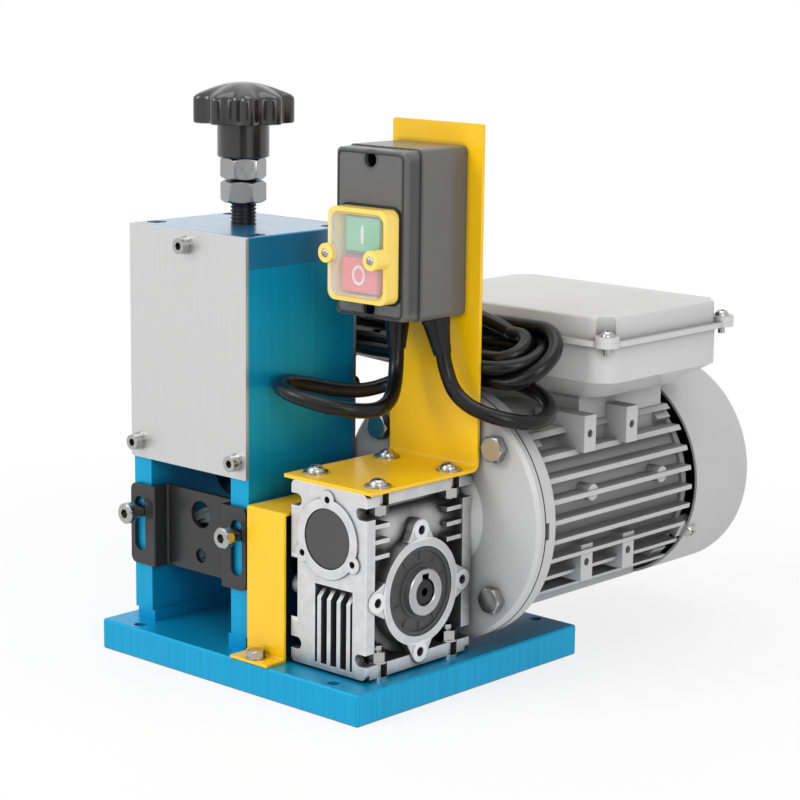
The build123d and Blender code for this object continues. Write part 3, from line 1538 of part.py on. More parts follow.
with BuildPart() as terminal_lid:
    with BuildSketch(Plane.XY.offset(seam_z)):
        with Locations(tray_mid):
            RectangleRounded(tbox_w, tbox_d, tbox_round)
    extrude(amount=tbox_top - seam_z, taper=lid_draft)
    fillet(terminal_lid.edges().group_by(Axis.Z)[-1], lid_edge)
    with BuildSketch(Plane.XY.offset(seam_z + lip_t)):
        with Locations(*ear_spots):
            Circle(ear_r + 1.0)
    extrude(amount=lid_h, mode=Mode.SUBTRACT)
    with BuildSketch(Plane.XY.offset(seam_z)):
        with Locations(*ear_spots):
            Circle(ear_r)
    extrude(amount=lip_t)
    with BuildSketch(Plane.XY.offset(seam_z)):
        with Locations(tray_mid):
            RectangleRounded(tbox_w - 6 * tbox_wall, tbox_d - 6 * tbox_wall, tbox_round)
    extrude(amount=lid_h - tbox_wall, mode=Mode.SUBTRACT)
    with BuildSketch(Plane.XY.offset(seam_z)):
        with Locations(*ear_spots):
            Circle(m4_d / 2)
    extrude(amount=lip_t, mode=Mode.SUBTRACT)
save(terminal_lid.part, "terminal_lid")

motor_screw = pan_screw(m4_d, m4_head_d, m4_head_h, m4_len)
screw_places = [Location((x, y, seam_z + lip_t)) for x, y in ear_spots]
screw_places += [cowl_screw_plane(angle).location for angle in cowl_angles]
save(group(motor_screw, screw_places), "motor_screws")

# Cable gland in the tray's left end
with BuildPart() as motor_gland:
    with BuildSketch(Plane.YZ.offset(gland_face_x)):
        with Locations((gland_y, gland_z)):
            Circle(gland_d / 2)
    extrude(amount=tbox_w / 8)
    with BuildSketch(Plane.YZ.offset(gland_face_x)):
        with Locations((gland_y, gland_z)):
            RegularPolygon(gland_flats / 2 / cos(pi / 6), 6)
    extrude(amount=-gland_len / 3)
    with BuildSketch(Plane.YZ.offset(gland_face_x - gland_len / 3)):
        with Locations((gland_y, gland_z)):
            Circle(gland_flats / 2 - 0.5)
    extrude(amount=-gland_len * 2 / 3)
    chamfer(motor_gland.edges().group_by(Axis.X)[0], 2.5)
save(motor_gland.part, "motor_gland")

# Bent plate that carries the switch, screwed to the gearbox's top flange
bracket_left = bracket_x - bracket_w / 2
bend_out = bracket_bend + bracket_t
bend_y = box_back + bracket_t - bend_out
bend_z = box_top + bend_out
with BuildPart() as switch_bracket:
    with BuildSketch(Plane.YZ.offset(bracket_left)):
        with BuildLine():
            Line((box_front, box_top), (bend_y, box_top))
            RadiusArc((bend_y, box_top), (bend_y + bend_out, bend_z), -bend_out)
            Line((bend_y + bend_out, bend_z), (bend_y + bend_out, bracket_top))
            Line((bend_y + bend_out, bracket_top), (bend_y + bracket_bend, bracket_top))
            Line((bend_y + bracket_bend, bracket_top), (bend_y + bracket_bend, bend_z))
            RadiusArc((bend_y + bracket_bend, bend_z), (bend_y, box_top + bracket_t), bracket_bend)
            Line((bend_y, box_top + bracket_t), (box_front, box_top + bracket_t))
            Line((box_front, box_top + bracket_t), (box_front, box_top))
        make_face()
    extrude(amount=bracket_w)
    fillet(switch_bracket.edges().filter_by(Axis.Y).group_by(Axis.Z)[-1], 1.5)
    with BuildSketch(Plane.XY.offset(box_top)):
        with Locations(*stud_spots):
            Circle(m6_d / 2 + slide_fit)
    extrude(amount=bracket_t, mode=Mode.SUBTRACT)
save(switch_bracket.part, "switch_bracket")

bracket_screw = pan_screw(m6_d, bracket_head_d, bracket_head_h, foot_t + bracket_t + m6_head_h, bracket_washer_d)
with BuildPart() as screw_and_nut:
    add(bracket_screw)
    with BuildSketch(Plane.XY.offset(-bracket_t - foot_t)):
        RegularPolygon(stud_flats / 2 / cos(pi / 6), 6)
    extrude(amount=-stud_nut_h)
bracket_places = [Location((x, y, box_top + bracket_t)) for x, y in stud_spots]
save(group(screw_and_nut.part, bracket_places), "bracket_screws")

# Switch: box, front cover, bezel with its two lugs, two buttons and a clear membrane
switch_back = box_back
switch_front = switch_back - switch_d
seam_y = switch_front + switch_cover_d
bottom_z = switch_z - switch_h / 2
with BuildPart() as switch_box:
    with BuildSketch(Plane.XZ.offset(-switch_back)):
        with Locations((switch_x, switch_z)):
            RectangleRounded(switch_w, switch_h, switch_round)
    extrude(amount=switch_back - seam_y)
    with BuildSketch(Plane.XZ.offset(-seam_y)):
        with Locations((switch_x, switch_z)):
            RectangleRounded(switch_w - 2 * switch_wall, switch_h - 2 * switch_wall, switch_round)
    extrude(amount=-(switch_back - seam_y - switch_wall), mode=Mode.SUBTRACT)
save(switch_box.part, "switch_box")

button_levels = (bezel_z + button_pitch / 2, bezel_z - button_pitch / 2)
face_screws = [(switch_x, switch_z + i * (switch_h / 2 - face_screw_in)) for i in (-1, 1)]
with BuildPart() as switch_cover:
    with BuildSketch(Plane.XZ.offset(-seam_y)):
        with Locations((switch_x, switch_z)):
            RectangleRounded(switch_w - 2 * cover_step, switch_h - 2 * cover_step, switch_round)
    extrude(amount=switch_cover_d, taper=switch_draft)
    fillet(switch_cover.edges().group_by(Axis.Y)[0], 1.5)
    with BuildSketch(Plane.XZ.offset(-seam_y)):
        with Locations((switch_x, switch_z)):
            RectangleRounded(switch_w - 2 * switch_wall, switch_h - 2 * switch_wall, switch_round)
    extrude(amount=switch_cover_d - switch_wall, mode=Mode.SUBTRACT)
    with BuildSketch(Plane.XZ.offset(-switch_front)):
        for level in button_levels:
            with Locations((bezel_x, level)):
                Rectangle(button_w + 2 * seat_gap, button_h + 2 * seat_gap)
        with Locations(*face_screws):
            Circle(m4_head_d / 2)
    extrude(amount=-switch_wall, mode=Mode.SUBTRACT)
save(switch_cover.part, "switch_cover")

bezel_front = switch_front - bezel_d
lug_spots = [(bezel_x + side * (bezel_w / 2 - bezel_lug_inset), bezel_z) for side in (-1, 1)]
notch_r = bezel_lug_d / 2 + notch_gap
with BuildPart() as switch_bezel:
    with BuildSketch(Plane.XZ.offset(-switch_front)):
        with Locations((bezel_x, bezel_z)):
            RectangleRounded(bezel_w, bezel_h, bezel_round)
            RectangleRounded(
                bezel_w - 2 * bezel_wall,
                bezel_h - 2 * bezel_wall,
                bezel_round - 1.0,
                mode=Mode.SUBTRACT,
            )
    extrude(amount=bezel_d)
    with BuildSketch(Plane.XZ.offset(-bezel_front)):
        with Locations((bezel_x, bezel_z)):
            RectangleRounded(
                bezel_w - 2 * (bezel_wall - window_seat) + 2 * slide_fit,
                bezel_h - 2 * (bezel_wall - window_seat) + 2 * slide_fit,
                bezel_round,
            )
    extrude(amount=-window_t, mode=Mode.SUBTRACT)
    for spot, reach in zip(lug_spots, (left_lug_len, right_lug_len)):
        with BuildSketch(Plane.XZ.offset(-bezel_front)):
            with Locations(spot):
                Circle(bezel_lug_d / 2)
                Circle(lug_screw_d / 2, mode=Mode.SUBTRACT)
        extrude(amount=reach)
save(switch_bezel.part, "switch_bezel")

with BuildPart() as lug_screws:
    for (x, z), reach in zip(lug_spots, (left_lug_len, right_lug_len)):
        with Locations(Location((x, bezel_front - reach, z), (90, 0, 0))):
            add(pan_screw(lug_screw_d, lug_head_d, lug_head_h, left_lug_len - 1.0))
save(lug_screws.part, "lug_screws")

with BuildPart() as switch_window:
    with BuildSketch(Plane.XZ.offset(-bezel_front - window_t)):
        with Locations((bezel_x, bezel_z)):
            RectangleRounded(
                bezel_w - 2 * (bezel_wall - window_seat),
                bezel_h - 2 * (bezel_wall - window_seat),
                bezel_round,
            )
    extrude(amount=window_t + window_rise)
    fillet(switch_window.edges().group_by(Axis.Y)[0], window_edge)
    with BuildSketch(Plane.XZ.offset(-bezel_front)):
        with Locations(*lug_spots):
            Circle(notch_r)
    extrude(amount=window_rise, mode=Mode.SUBTRACT)
    with BuildSketch(Plane.XZ.offset(-bezel_front - window_t)):
        with Locations((bezel_x, bezel_z)):
            RectangleRounded(
                bezel_w - 2 * (bezel_wall - window_seat + window_t),
                bezel_h - 2 * (bezel_wall - window_seat + window_t),
                bezel_round - window_t,
            )
        with Locations(*lug_spots):
            Circle(notch_r + window_t, mode=Mode.SUBTRACT)
    extrude(amount=window_rise, mode=Mode.SUBTRACT)
save(switch_window.part, "switch_window")


def button(level, front, name):
    """One push button: its cap in the cover's opening and a rim behind the cover's wall."""
    with BuildPart() as cap:
        with BuildSketch(Plane.XZ.offset(-switch_front - switch_wall)):
            with Locations((bezel_x, level)):
                Rectangle(button_w, button_h)
        extrude(amount=front + switch_wall)
        fillet(cap.edges().group_by(Axis.Y)[0], 0.8)
        with BuildSketch(Plane.XZ.offset(-switch_front - switch_wall - seat_gap)):
            with Locations((bezel_x, level)):
                Rectangle(button_w + 2 * (seat_gap + button_rim), button_h + 2 * (seat_gap + button_rim))
        extrude(amount=-button_rim * 2)
        with BuildSketch(Plane.XZ.offset(-switch_front - switch_wall)):
            with Locations((bezel_x, level)):
                Rectangle(button_w, button_h)
        extrude(amount=-seat_gap)
    save(cap.part, name)


button(button_levels[0], start_front, "start_button")
button(button_levels[1], stop_front, "stop_button")

# Coupling guard: one bent strip on a foot, with its bolt
with BuildPart() as coupling_guard:
    with BuildSketch(Plane.YZ.offset(guard_x - guard_w / 2)):
        with BuildLine():
            Polyline(
                (guard_foot_y, base_t),
                (guard_face_y + guard_t, base_t),
                (guard_face_y + guard_t, guard_top_z - guard_t),
                (guard_back_y, guard_top_z - guard_t),
                (guard_back_y, guard_top_z),
                (guard_face_y, guard_top_z),
                (guard_face_y, base_t + guard_t),
                (guard_foot_y, base_t + guard_t),
                close=True,
            )
        make_face()
    extrude(amount=guard_w)
    fillet(coupling_guard.edges().filter_by(Axis.X).filter_by_position(Axis.Y, guard_face_y, guard_face_y), guard_t)
    with BuildSketch(Plane.XY.offset(base_t)):
        with Locations((guard_x, guard_bolt_y)):
            Circle(m5_d / 2 + slide_fit)
    extrude(amount=guard_t, mode=Mode.SUBTRACT)
save(coupling_guard.part, "coupling_guard")

with BuildPart() as guard_bolt:
    with BuildSketch(Plane.XY.offset(base_t + guard_t)):
        with Locations((guard_x, guard_bolt_y)):
            Circle(m6_head_d / 2)
    extrude(amount=washer_t)
    with BuildSketch(Plane.XY.offset(base_t + guard_t)):
        with Locations((guard_x, guard_bolt_y)):
            Circle(m5_d / 2 - run_fit)
    extrude(amount=-(stud_sunk - seat_gap))
    with Locations((guard_x, guard_bolt_y, base_t + guard_t + washer_t)):
        add(hex_prism(m5_head_d, m5_d * 0.7))
save(guard_bolt.part, "guard_bolt")

# Cord routes: straight runs joined by arcs, each arc as large as its two runs allow
mains_exit = (mains_x, relief_y, bottom_z)
lead_exit = (lead_x, relief_y, bottom_z)
mains_route = [
    (47.5, -7.5, 177.4),
    (48.7, -9, 167),
    (53.5, -15.5, 158),
    (58.5, -25, 152),
    (60.5, -37, 150),
    (57, -49, 151),
    (48, -58, 153),
    (36.5, -63, 155.5),
    (25.5, -65, 157.7),
    (14.5, -61.5, 159.2),
    (7.3, -52.8, 159.6),
    (6.6, -41.5, 158.3),
    (9, -29.5, 155.2),
    (13.5, -17, 151.8),
    (18, -3.5, 150),
    (22, 9.5, 151.5),
    (31, 19, 157.5),
    (44, 20, 165),
]
lead_route = [
    (76.3, -3.6, 177.6),
    (78.6, -2.8, 168),
    (84, -3.4, 159),
    (93, -2.5, 152.5),
    (104.5, 1, 148.5),
    (113.5, 9.5, 145.5),
    (118, 21.5, 143.5),
    (117, 34.5, 144.5),
    (109.5, 45, 148.5),
    (97, 51, 152.5),
    (81, 52.5, 155.5),
    (62, 51, 156.5),
    (35, 50.5, 157),
    (7, 50.5, 158),
    (-19, 50.5, 159.5),
    (-41.4, 50.6, 160.5),
    (-54.3, 58, 161.5),
    (-61.7, 70.9, 162.5),
    (-61.7, 85.7, 163.3),
    (-54.3, 98.6, 164),
    (-41.4, gland_y, gland_z),
    (gland_face_x - gland_len, gland_y, gland_z),
]
tail_route = [
    (56, 12.5, 4),
    (41, 13.5, 9),
    (25.5, 12.5, 14.5),
    (10, 8.5, 18.8),
    (-6, plug_side, plug_up),
    (plug_tip_x, plug_side, plug_up),
]


def cord_tube(name, plane, points):
    """A cord's tube along the points, given in the plane's own axes."""
    corners = [Vector(*p) for p in points]
    radii = []
    for before, here, after in zip(corners, corners[1:], corners[2:]):
        turn = (here - before).get_angle(after - here)
        shorter = min((here - before).length, (after - here).length)
        radii.append(corner_share * shorter / tan(radians(turn / 2)))
    with BuildPart() as tube:
        with BuildLine(plane):
            route = FilletPolyline(*points, radius=radii)
        with BuildSketch(Plane(route @ 0, z_dir=route % 0)):
            Circle(cord_d / 2)
        sweep()
    share = tube.part.volume / (pi * cord_d**2 / 4 * route.length)
    print(name, "length", round(route.length), "volume share", round(share, 3))
    print(name, "radii", [round(r) for r in radii])
    return tube.part


coil_plane = Plane(
    origin=(coil_x, coil_y, coil_z),
    x_dir=(1, 0, 0),
    z_dir=(0, -sin(radians(coil_tilt)), cos(radians(coil_tilt))),
)
mains_tube = cord_tube("mains_cord", Plane.XY, mains_route)
tail_tube = cord_tube("mains_tail", coil_plane, tail_route)
with BuildPart() as mains_cord:
    add(mains_tube)
    add(tail_tube)
save(mains_cord.part, "mains_cord")
save(cord_tube("motor_lead", Plane.XY, lead_route), "motor_lead")

# The spare length of the mains cord: a tied hank, as one closed ring of its outer shape
half = coil_straight / 2
with BuildPart() as mains_coil:
    with BuildLine(coil_plane):
        front_run = Line((-half, -coil_bend), (half, -coil_bend))
        ThreePointArc((half, -coil_bend), (half + coil_bend, 0), (half, coil_bend))
        Line((half, coil_bend), (-half, coil_bend))
        ThreePointArc((-half, coil_bend), (-half - coil_bend, 0), (-half, -coil_bend))
    with BuildSketch(Plane(front_run @ 0, z_dir=front_run % 0)):
        Circle(bundle_d / 2)
    sweep()
save(mains_coil.part, "mains_coil")

# Plug lying on the hank, with its own strain relief
plug_plane = Plane(
    origin=coil_plane.from_local_coords((plug_tip_x, plug_side, plug_up)),
    x_dir=coil_plane.y_dir,
    z_dir=(-1, 0, 0),
)
plug_back = relief_len + plug_neck_len
relief_taper = degrees(atan((relief_d - relief_tip_d) / 2 / relief_len))
with BuildPart() as mains_plug:
    with BuildSketch(plug_plane):
        Circle(relief_tip_d / 2)
    extrude(amount=relief_len, taper=-relief_taper)
    with BuildSketch(plug_plane.offset(relief_len)):
        RectangleRounded(plug_neck_w, plug_neck_h, plug_neck_h * 0.4)
    extrude(amount=plug_neck_len)
    with BuildSketch(plug_plane.offset(plug_back)):
        RectangleRounded(plug_w, plug_h, plug_h * 0.25)
    extrude(amount=plug_len)
    with BuildSketch(plug_plane.offset(plug_back + plug_len)):
        with Locations((-blade_pitch / 2, plug_h / 8), (blade_pitch / 2, plug_h / 8)):
            Rectangle(blade_w, blade_h)
        with Locations((0, -plug_h / 4)):
            Circle(earth_pin_d / 2)
    extrude(amount=blade_len)
save(mains_plug.part, "mains_plug")

# Strain reliefs under the switch, one for each cord
with BuildPart() as cord_reliefs:
    for exit_point, tip in ((mains_exit, mains_route[0]), (lead_exit, lead_route[0])):
        with BuildSketch(Plane.XY.offset(bottom_z)):
            with Locations((exit_point[0], exit_point[1])):
                Circle(relief_d / 2)
        extrude(amount=-collar_rise)
        start = Vector(*exit_point) - Vector(0, 0, collar_rise / 2)
        along = Vector(*tip) - start
        narrow = degrees(atan((relief_d - relief_tip_d) / 2 / along.length))
        with BuildSketch(Plane(start, z_dir=along)):
            Circle(relief_d / 2 - slide_fit)
        extrude(amount=along.length, taper=narrow)
save(cord_reliefs.part, "cord_reliefs")
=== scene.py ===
# %% [markdown]
# # A wire stripping machine
# A bench machine that slits the jacket of scrap cable. A blue head holds a toothed
# roller and a round knife, a worm gearbox and a flange motor drive the roller, and a
# switch box stands on a yellow sheet bracket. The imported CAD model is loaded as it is,
# so this notebook only dresses it: finishes, cords, and the small pieces that a solid
# model leaves out. Blender works in metres. The cords and small pieces are written in
# millimetres and multiplied by mm.

# %% Load the frame
import math

import bpy
import numpy as np
from mathutils import Matrix, Vector


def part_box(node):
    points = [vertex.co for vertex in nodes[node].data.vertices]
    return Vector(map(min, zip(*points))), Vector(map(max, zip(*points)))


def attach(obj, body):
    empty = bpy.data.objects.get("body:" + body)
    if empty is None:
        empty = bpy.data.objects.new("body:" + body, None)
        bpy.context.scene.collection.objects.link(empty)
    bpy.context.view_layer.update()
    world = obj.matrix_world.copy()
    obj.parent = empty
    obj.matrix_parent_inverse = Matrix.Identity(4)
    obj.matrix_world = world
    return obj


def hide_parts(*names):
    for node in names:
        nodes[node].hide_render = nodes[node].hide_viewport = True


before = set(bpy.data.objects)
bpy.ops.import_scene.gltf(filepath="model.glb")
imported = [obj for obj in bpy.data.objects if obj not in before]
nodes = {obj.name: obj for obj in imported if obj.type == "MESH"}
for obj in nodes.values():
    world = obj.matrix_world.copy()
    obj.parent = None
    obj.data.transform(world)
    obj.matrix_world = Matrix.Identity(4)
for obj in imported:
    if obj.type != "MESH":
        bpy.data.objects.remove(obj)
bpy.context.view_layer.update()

# %% [markdown]
# ## The camera
# The photograph was taken from the right of the front, a little above, with a long lens.
# A camera can be placed by hand or solved from the known corners of the machine. It was
# solved, so the place, the two angles and the small roll are plain numbers here.

# %% Camera
cam_place = Vector((0.8673, -0.9024, 0.3879))
cam_yaw = math.radians(42.3943)
cam_pitch = math.radians(11.0993)
cam_roll = math.radians(0.686)
frame_px = 800
focal_px = 2344.4

forward = Vector(
    (
        -math.sin(cam_yaw) * math.cos(cam_pitch),
        math.cos(cam_yaw) * math.cos(cam_pitch),
        -math.sin(cam_pitch),
    )
)
level_right = Vector((math.cos(cam_yaw), math.sin(cam_yaw), 0))
level_up = level_right.cross(forward)
cam_right = math.cos(cam_roll) * level_right + math.sin(cam_roll) * level_up
cam_up = math.cos(cam_roll) * level_up - math.sin(cam_roll) * level_right

camera = bpy.data.objects.new("camera", bpy.data.cameras.new("camera"))
bpy.context.scene.collection.objects.link(camera)
camera.data.sensor_width = 36.0
camera.data.lens = focal_px / frame_px * camera.data.sensor_width
camera.data.clip_start = 0.05
turn = Matrix((cam_right, cam_up, -forward)).transposed()
camera.matrix_world = Matrix.Translation(cam_place) @ turn.to_4x4()
bpy.context.scene.camera = camera
print("camera lens", round(camera.data.lens, 2))

# %% [markdown]
# ## Finishes
# Every finish is a small node tree. Writing the maths of a tree node by node hides the
# idea, so one small class wraps a socket and lets Python's operators add the Math nodes,
# and another holds the tree of one finish. Every pattern reads Object coordinates, which
# are the machine's own metres, so its grain keeps its real size on every piece. Shade is
# painted into the base colour where faces meet: an Ambient Occlusion node looks for other
# faces within a reach, and corners() turns what it finds into a mask of painted shade.


# %% Shader maths as expressions
class Wave:
    """A number that changes over the surface; an operator on it adds a Math node."""

    def __init__(self, finish, socket):
        self.finish = finish
        self.socket = socket

    def join(self, operation, *values):
        """One Math node of that operation, on these values or sockets."""
        settings = {"operation": operation}
        found = self.finish.add("ShaderNodeMath", settings, dict(enumerate(values)))
        return Wave(self.finish, found.outputs[0])

    def __add__(self, other):
        return self.join("ADD", self, other)

    def __sub__(self, other):
        return self.join("SUBTRACT", self, other)

    def __rsub__(self, other):
        return self.join("SUBTRACT", other, self)

    def __mul__(self, other):
        return self.join("MULTIPLY", self, other)

    def band(self, low, high):
        """0 below low, 1 above high, and a smooth step between."""
        settings = {"interpolation_type": "SMOOTHSTEP"}
        found = self.finish.add("ShaderNodeMapRange", settings, {0: self, 1: low, 2: high})
        return Wave(self.finish, found.outputs[0])

    __radd__ = __add__
    __rmul__ = __mul__


class Finish:
    """One material: its node tree, its surface shader and the machine's coordinates."""

    def __init__(self, name, colour, roughness, metallic=0.0, **fixed):
        self.material = bpy.data.materials.new(name)
        self.material.use_nodes = True
        self.tree = self.material.node_tree
        self.shader = self.tree.nodes["Principled BSDF"]
        self.colour = (*colour, 1.0)
        self.place = self.add("ShaderNodeTexCoord").outputs["Object"]
        self.set("Base Color", self.colour)
        self.set("Roughness", roughness)
        self.set("Metallic", metallic)
        for socket, value in fixed.items():
            self.set(socket.replace("_", " "), value)

    def feed(self, socket, value):
        """Set a socket to a value, or link it to where the value comes from."""
        if isinstance(value, Wave):
            value = value.socket
        if isinstance(value, bpy.types.NodeSocket):
            self.tree.links.new(value, socket)
        else:
            socket.default_value = value

    def add(self, kind, settings=None, sockets=None):
        """Any node: its settings first, then the values or links of its sockets."""
        made = self.tree.nodes.new(kind)
        for setting, value in (settings or {}).items():
            setattr(made, setting, value)
        for socket, value in (sockets or {}).items():
            self.feed(made.inputs[socket], value)
        return made

    def set(self, socket, value):
        """Feed one socket of the surface shader."""
        self.feed(self.shader.inputs[socket], value)

    def stretched(self, x, y, z):
        """Coordinates drawn out along an axis by a scale under 1, for brushed lines."""
        return self.add("ShaderNodeMapping", None, {0: self.place, 3: (x, y, z)}).outputs[0]

    def noise(self, scale, detail=2.0, place=None):
        """Soft noise about 0.5; scale is in waves per metre."""
        sockets = {"Vector": place or self.place, "Scale": scale, "Detail": detail}
        return Wave(self, self.add("ShaderNodeTexNoise", None, sockets).outputs[0])

    def corners(self, reach, inside=False):
        """0 on open faces and up to 1 in tight corners, a mask for painted shade; inside finds
        outer edges instead.
        """
        settings = {"samples": 8, "inside": inside}
        found = self.add("ShaderNodeAmbientOcclusion", settings, {"Distance": reach})
        return 1.0 - Wave(self, found.outputs["AO"])

    def tint(self, share, other):
        """Base colour: the finish's own where share is 0, the other where it is 1."""
        settings = {"data_type": "RGBA"}
        sockets = {0: share, 6: self.colour, 7: (*other, 1.0)}
        self.set("Base Color", self.add("ShaderNodeMix", settings, sockets).outputs[2])

    def relief(self, height, depth, rounded=0.0):
        """Bumps of this height map, depth in metres, over edges rounded by a radius."""
        sockets = {"Height": height, "Distance": depth, "Strength": 1.0}
        bump = self.add("ShaderNodeBump", None, sockets)
        if rounded:
            bevel = self.add("ShaderNodeBevel", {"samples": 4}, {"Radius": rounded})
            self.feed(bump.inputs["Normal"], bevel.outputs[0])
        self.set("Normal", bump.outputs[0])


# %% [markdown]
# ## Blue anodised aluminium
# The base and the head are aluminium plates, brushed and then dyed blue. The dye sits in
# a clear oxide layer, so the metal shines through the colour, and at a flat angle the
# layer mirrors the white room. Brushing leaves fine lines along one direction: noise
# drawn out a hundred times along that direction gives them, in roughness and relief.


# %% Anodised plates
def anodised(name, colour, lines, coat):
    """Blue brushed metal, with shade painted in where other faces close round it.

    lines is the scale of the noise along x, y and z, and coat the gloss of the oxide.
    """
    # the darkest colour, for the dye's random streaks and for the painted shade
    dark_dye_and_shade = (0.0, 0.22 * colour[1], 0.3 * colour[2])
    made = Finish(
        name, colour, roughness=0.4, metallic=0.5, Coat_Weight=coat, Coat_Roughness=0.2
    )
    made.set("Specular IOR Level", 0.3)
    grain = made.noise(1.0, 3.0, made.stretched(*lines))
    broad = made.noise(26.0)
    streaks = grain * 0.5 + broad * 0.2 - 0.22
    # painted shade: where other faces close round a plate, as inside the head, its blue goes
    # dark
    painted_corner_shade = made.corners(reach=0.1).band(0.6, 0.95)
    made.tint(streaks + painted_corner_shade, dark_dye_and_shade)
    made.set("Roughness", grain * 0.2 + broad * 0.1 + 0.22)
    made.relief(grain, depth=0.00003, rounded=0.0004)
    return made.material


# waves per metre across the brushing and along it
fine, drawn_out = 650, 6
blue_upright = anodised(
    "blue_anodised_upright", (0.002, 0.385, 0.67), (fine, fine, drawn_out), coat=0.03
)
blue_flat = anodised(
    "blue_anodised_flat", (0.01, 0.24, 0.47), (drawn_out, fine, fine), coat=1.0
)

# %% [markdown]
# ## Bare sheet and black coat
# The two covers of the head are bare sheet steel, rolled with a fine grain along the
# height. The wire guide is black powder coat, which flows into a fine skin of low
# pebbles.

# %% Sheet covers and wire guide
sheet = Finish("bare_sheet_steel", (0.65, 0.65, 0.648), roughness=0.4, metallic=0.9)
rolled = sheet.noise(1.0, 4.0, sheet.stretched(2600, 2600, 30))
# rolled streaks in the steel's own tone, and painted shade in the corners of the covers
sheet.tint(rolled * 0.15 + sheet.corners(reach=0.08).band(0.5, 0.9), (0.06, 0.06, 0.06))
sheet.set("Roughness", rolled * 0.2 + 0.32)
sheet.relief(rolled, depth=0.00001, rounded=0.0003)


def coated(name, colour, roughness, pebble, depth, coat=0.0, shade=0.01):
    """Powder coat or paint.

    pebble is its skin in waves per metre and depth the height of them in metres; coat is
    the gloss over it, and shade is the reach in metres of the shade painted into its corners.
    """
    made = Finish(name, colour, roughness, Coat_Weight=coat, Coat_Roughness=0.08)
    skin = made.noise(pebble)
    cloud = made.noise(18.0, 3.0)
    darker = tuple(0.3 * c for c in colour)
    # random clouds in the paint's own tone, and painted shade in the corners
    made.tint(cloud * 0.2 + made.corners(shade) * 1.2, darker)
    made.set("Roughness", cloud * 0.12 + skin * 0.06 + (roughness - 0.09))
    made.relief(skin, depth, rounded=0.0005)
    return made.material


black_coat = coated(
    "black_powder_coat", (0.022, 0.022, 0.023), 0.3, pebble=1500, depth=0.00003
)

# %% [markdown]
# ## Yellow sheet and grey castings
# The bracket and the coupling guard wear the same yellow gloss. The motor, its terminal
# box and the gearbox are castings: sand or die leaves a grain, and sprayed silver paint
# softens it. The gearbox is left as it was cast, so it is brighter, and its grain is
# deeper and partly metal. Paints and castings have shade painted into their corners, and
# the gearbox a painted highlight on its outer edges.

# %% Paints and castings
yellow_coat = coated(
    "yellow_gloss", (1.0, 0.59, 0.0), 0.34, pebble=900, depth=0.000015, coat=0.2, shade=0.003
)
motor_paint = coated(
    "motor_grey", (0.56, 0.56, 0.56), 0.42, pebble=900, depth=0.00006, shade=0.022
)
lid_paint = coated(
    "terminal_silver", (0.64, 0.64, 0.64), 0.36, pebble=1100, depth=0.00003, coat=0.2
)

casting = Finish("cast_aluminium", (0.84, 0.84, 0.85), roughness=0.42, metallic=0.5)
grit = casting.noise(1300, 3.0)
swell = casting.noise(140, 3.0)
# painted shade in the corners, and a painted highlight along the outer edges
shadow = casting.corners(reach=0.025).band(0.1, 0.85)
painted_edge = casting.corners(reach=0.0012, inside=True).band(0.2, 0.6)
casting.tint(swell * 0.3 + 0.13 + shadow * 1.1 - painted_edge * 0.25, (0.05, 0.05, 0.052))
casting.set("Roughness", grit * 0.2 + swell * 0.1 + 0.32)
casting.relief(grit + swell * 0.5, depth=0.00006, rounded=0.0005)

# %% [markdown]
# ## Machined and plated steel
# Turned parts keep the spiral of the lathe tool, plated fasteners are smooth with a
# slight cloud, and black oxide leaves a dark metal. The turned look follows from noise
# that is drawn out round the axis; on parts along X the noise is simply fine along X and
# slow across it.


# %% Steel, bronze and copper
def metal(name, colour, roughness, lines):
    """Bare metal with tool marks; lines is the scale of the marks along x, y and z."""
    made = Finish(name, colour, roughness, metallic=1.0)
    marks = made.noise(1.0, place=made.stretched(*lines))
    cloud = made.noise(60.0)
    # painted shade where other faces close round the part
    painted_corner_shade = made.corners(reach=0.04).band(0.5, 0.9)
    made.tint(cloud * 0.2 + painted_corner_shade, tuple(0.2 * c for c in colour))
    made.set("Roughness", marks * 0.16 + cloud * 0.1 + (roughness - 0.13))
    made.relief(marks, depth=0.00001, rounded=0.0002)
    return made.material


turned_steel = metal("turned_steel", (0.50, 0.50, 0.51), 0.32, (2400, 60, 60))
ground_steel = metal("ground_tool_steel", (0.42, 0.42, 0.44), 0.22, (900, 40, 40))
zinc = metal("zinc_plate", (0.46, 0.46, 0.455), 0.24, (500, 500, 500))
dull_steel = metal("dull_steel", (0.36, 0.36, 0.365), 0.3, (300, 300, 300))
black_oxide = metal("black_oxide", (0.05, 0.05, 0.055), 0.36, (400, 400, 1800))
bronze = metal("bronze", (0.60, 0.36, 0.13), 0.3, (1800, 60, 60))
copper = metal("winding_copper", (0.45, 0.17, 0.07), 0.4, (900, 60, 900))

# %% [markdown]
# ## Plastics and rubber
# Moulded plastic copies its mould: the switch box a spark-eroded one with a dry, fine
# texture, the knob a polished one. The switch box has shade painted on its outer edges.
# The button cover is clear, so it is a pale see-through layer. Cords have a smooth dark
# jacket that mirrors the lamps in one long line.


# %% Plastics, rubber and the clear film
def moulded(name, colour, roughness, texture, depth, coat=0.0, rim=0.0, shine=0.5):
    """Moulded plastic.

    texture is its grain in waves per metre and depth the height of them in metres; coat
    is the gloss over it, rim the painted shade of its outer edges, shine its mirror strength.
    """
    made = Finish(name, colour, roughness, Coat_Weight=coat, Coat_Roughness=0.1)
    grain = made.noise(texture, 3.0)
    flow = made.noise(40.0)
    # painted shade on the outer edges, as strong as rim
    painted_edge = made.corners(reach=0.003, inside=True).band(0.35, 0.75)
    made.tint(flow * 0.15 + painted_edge * rim, tuple(0.15 * c for c in colour))
    made.set("Roughness", grain * 0.16 + flow * 0.08 + (roughness - 0.12))
    made.set("Specular IOR Level", shine)
    made.relief(grain, depth, rounded=0.0004)
    return made.material


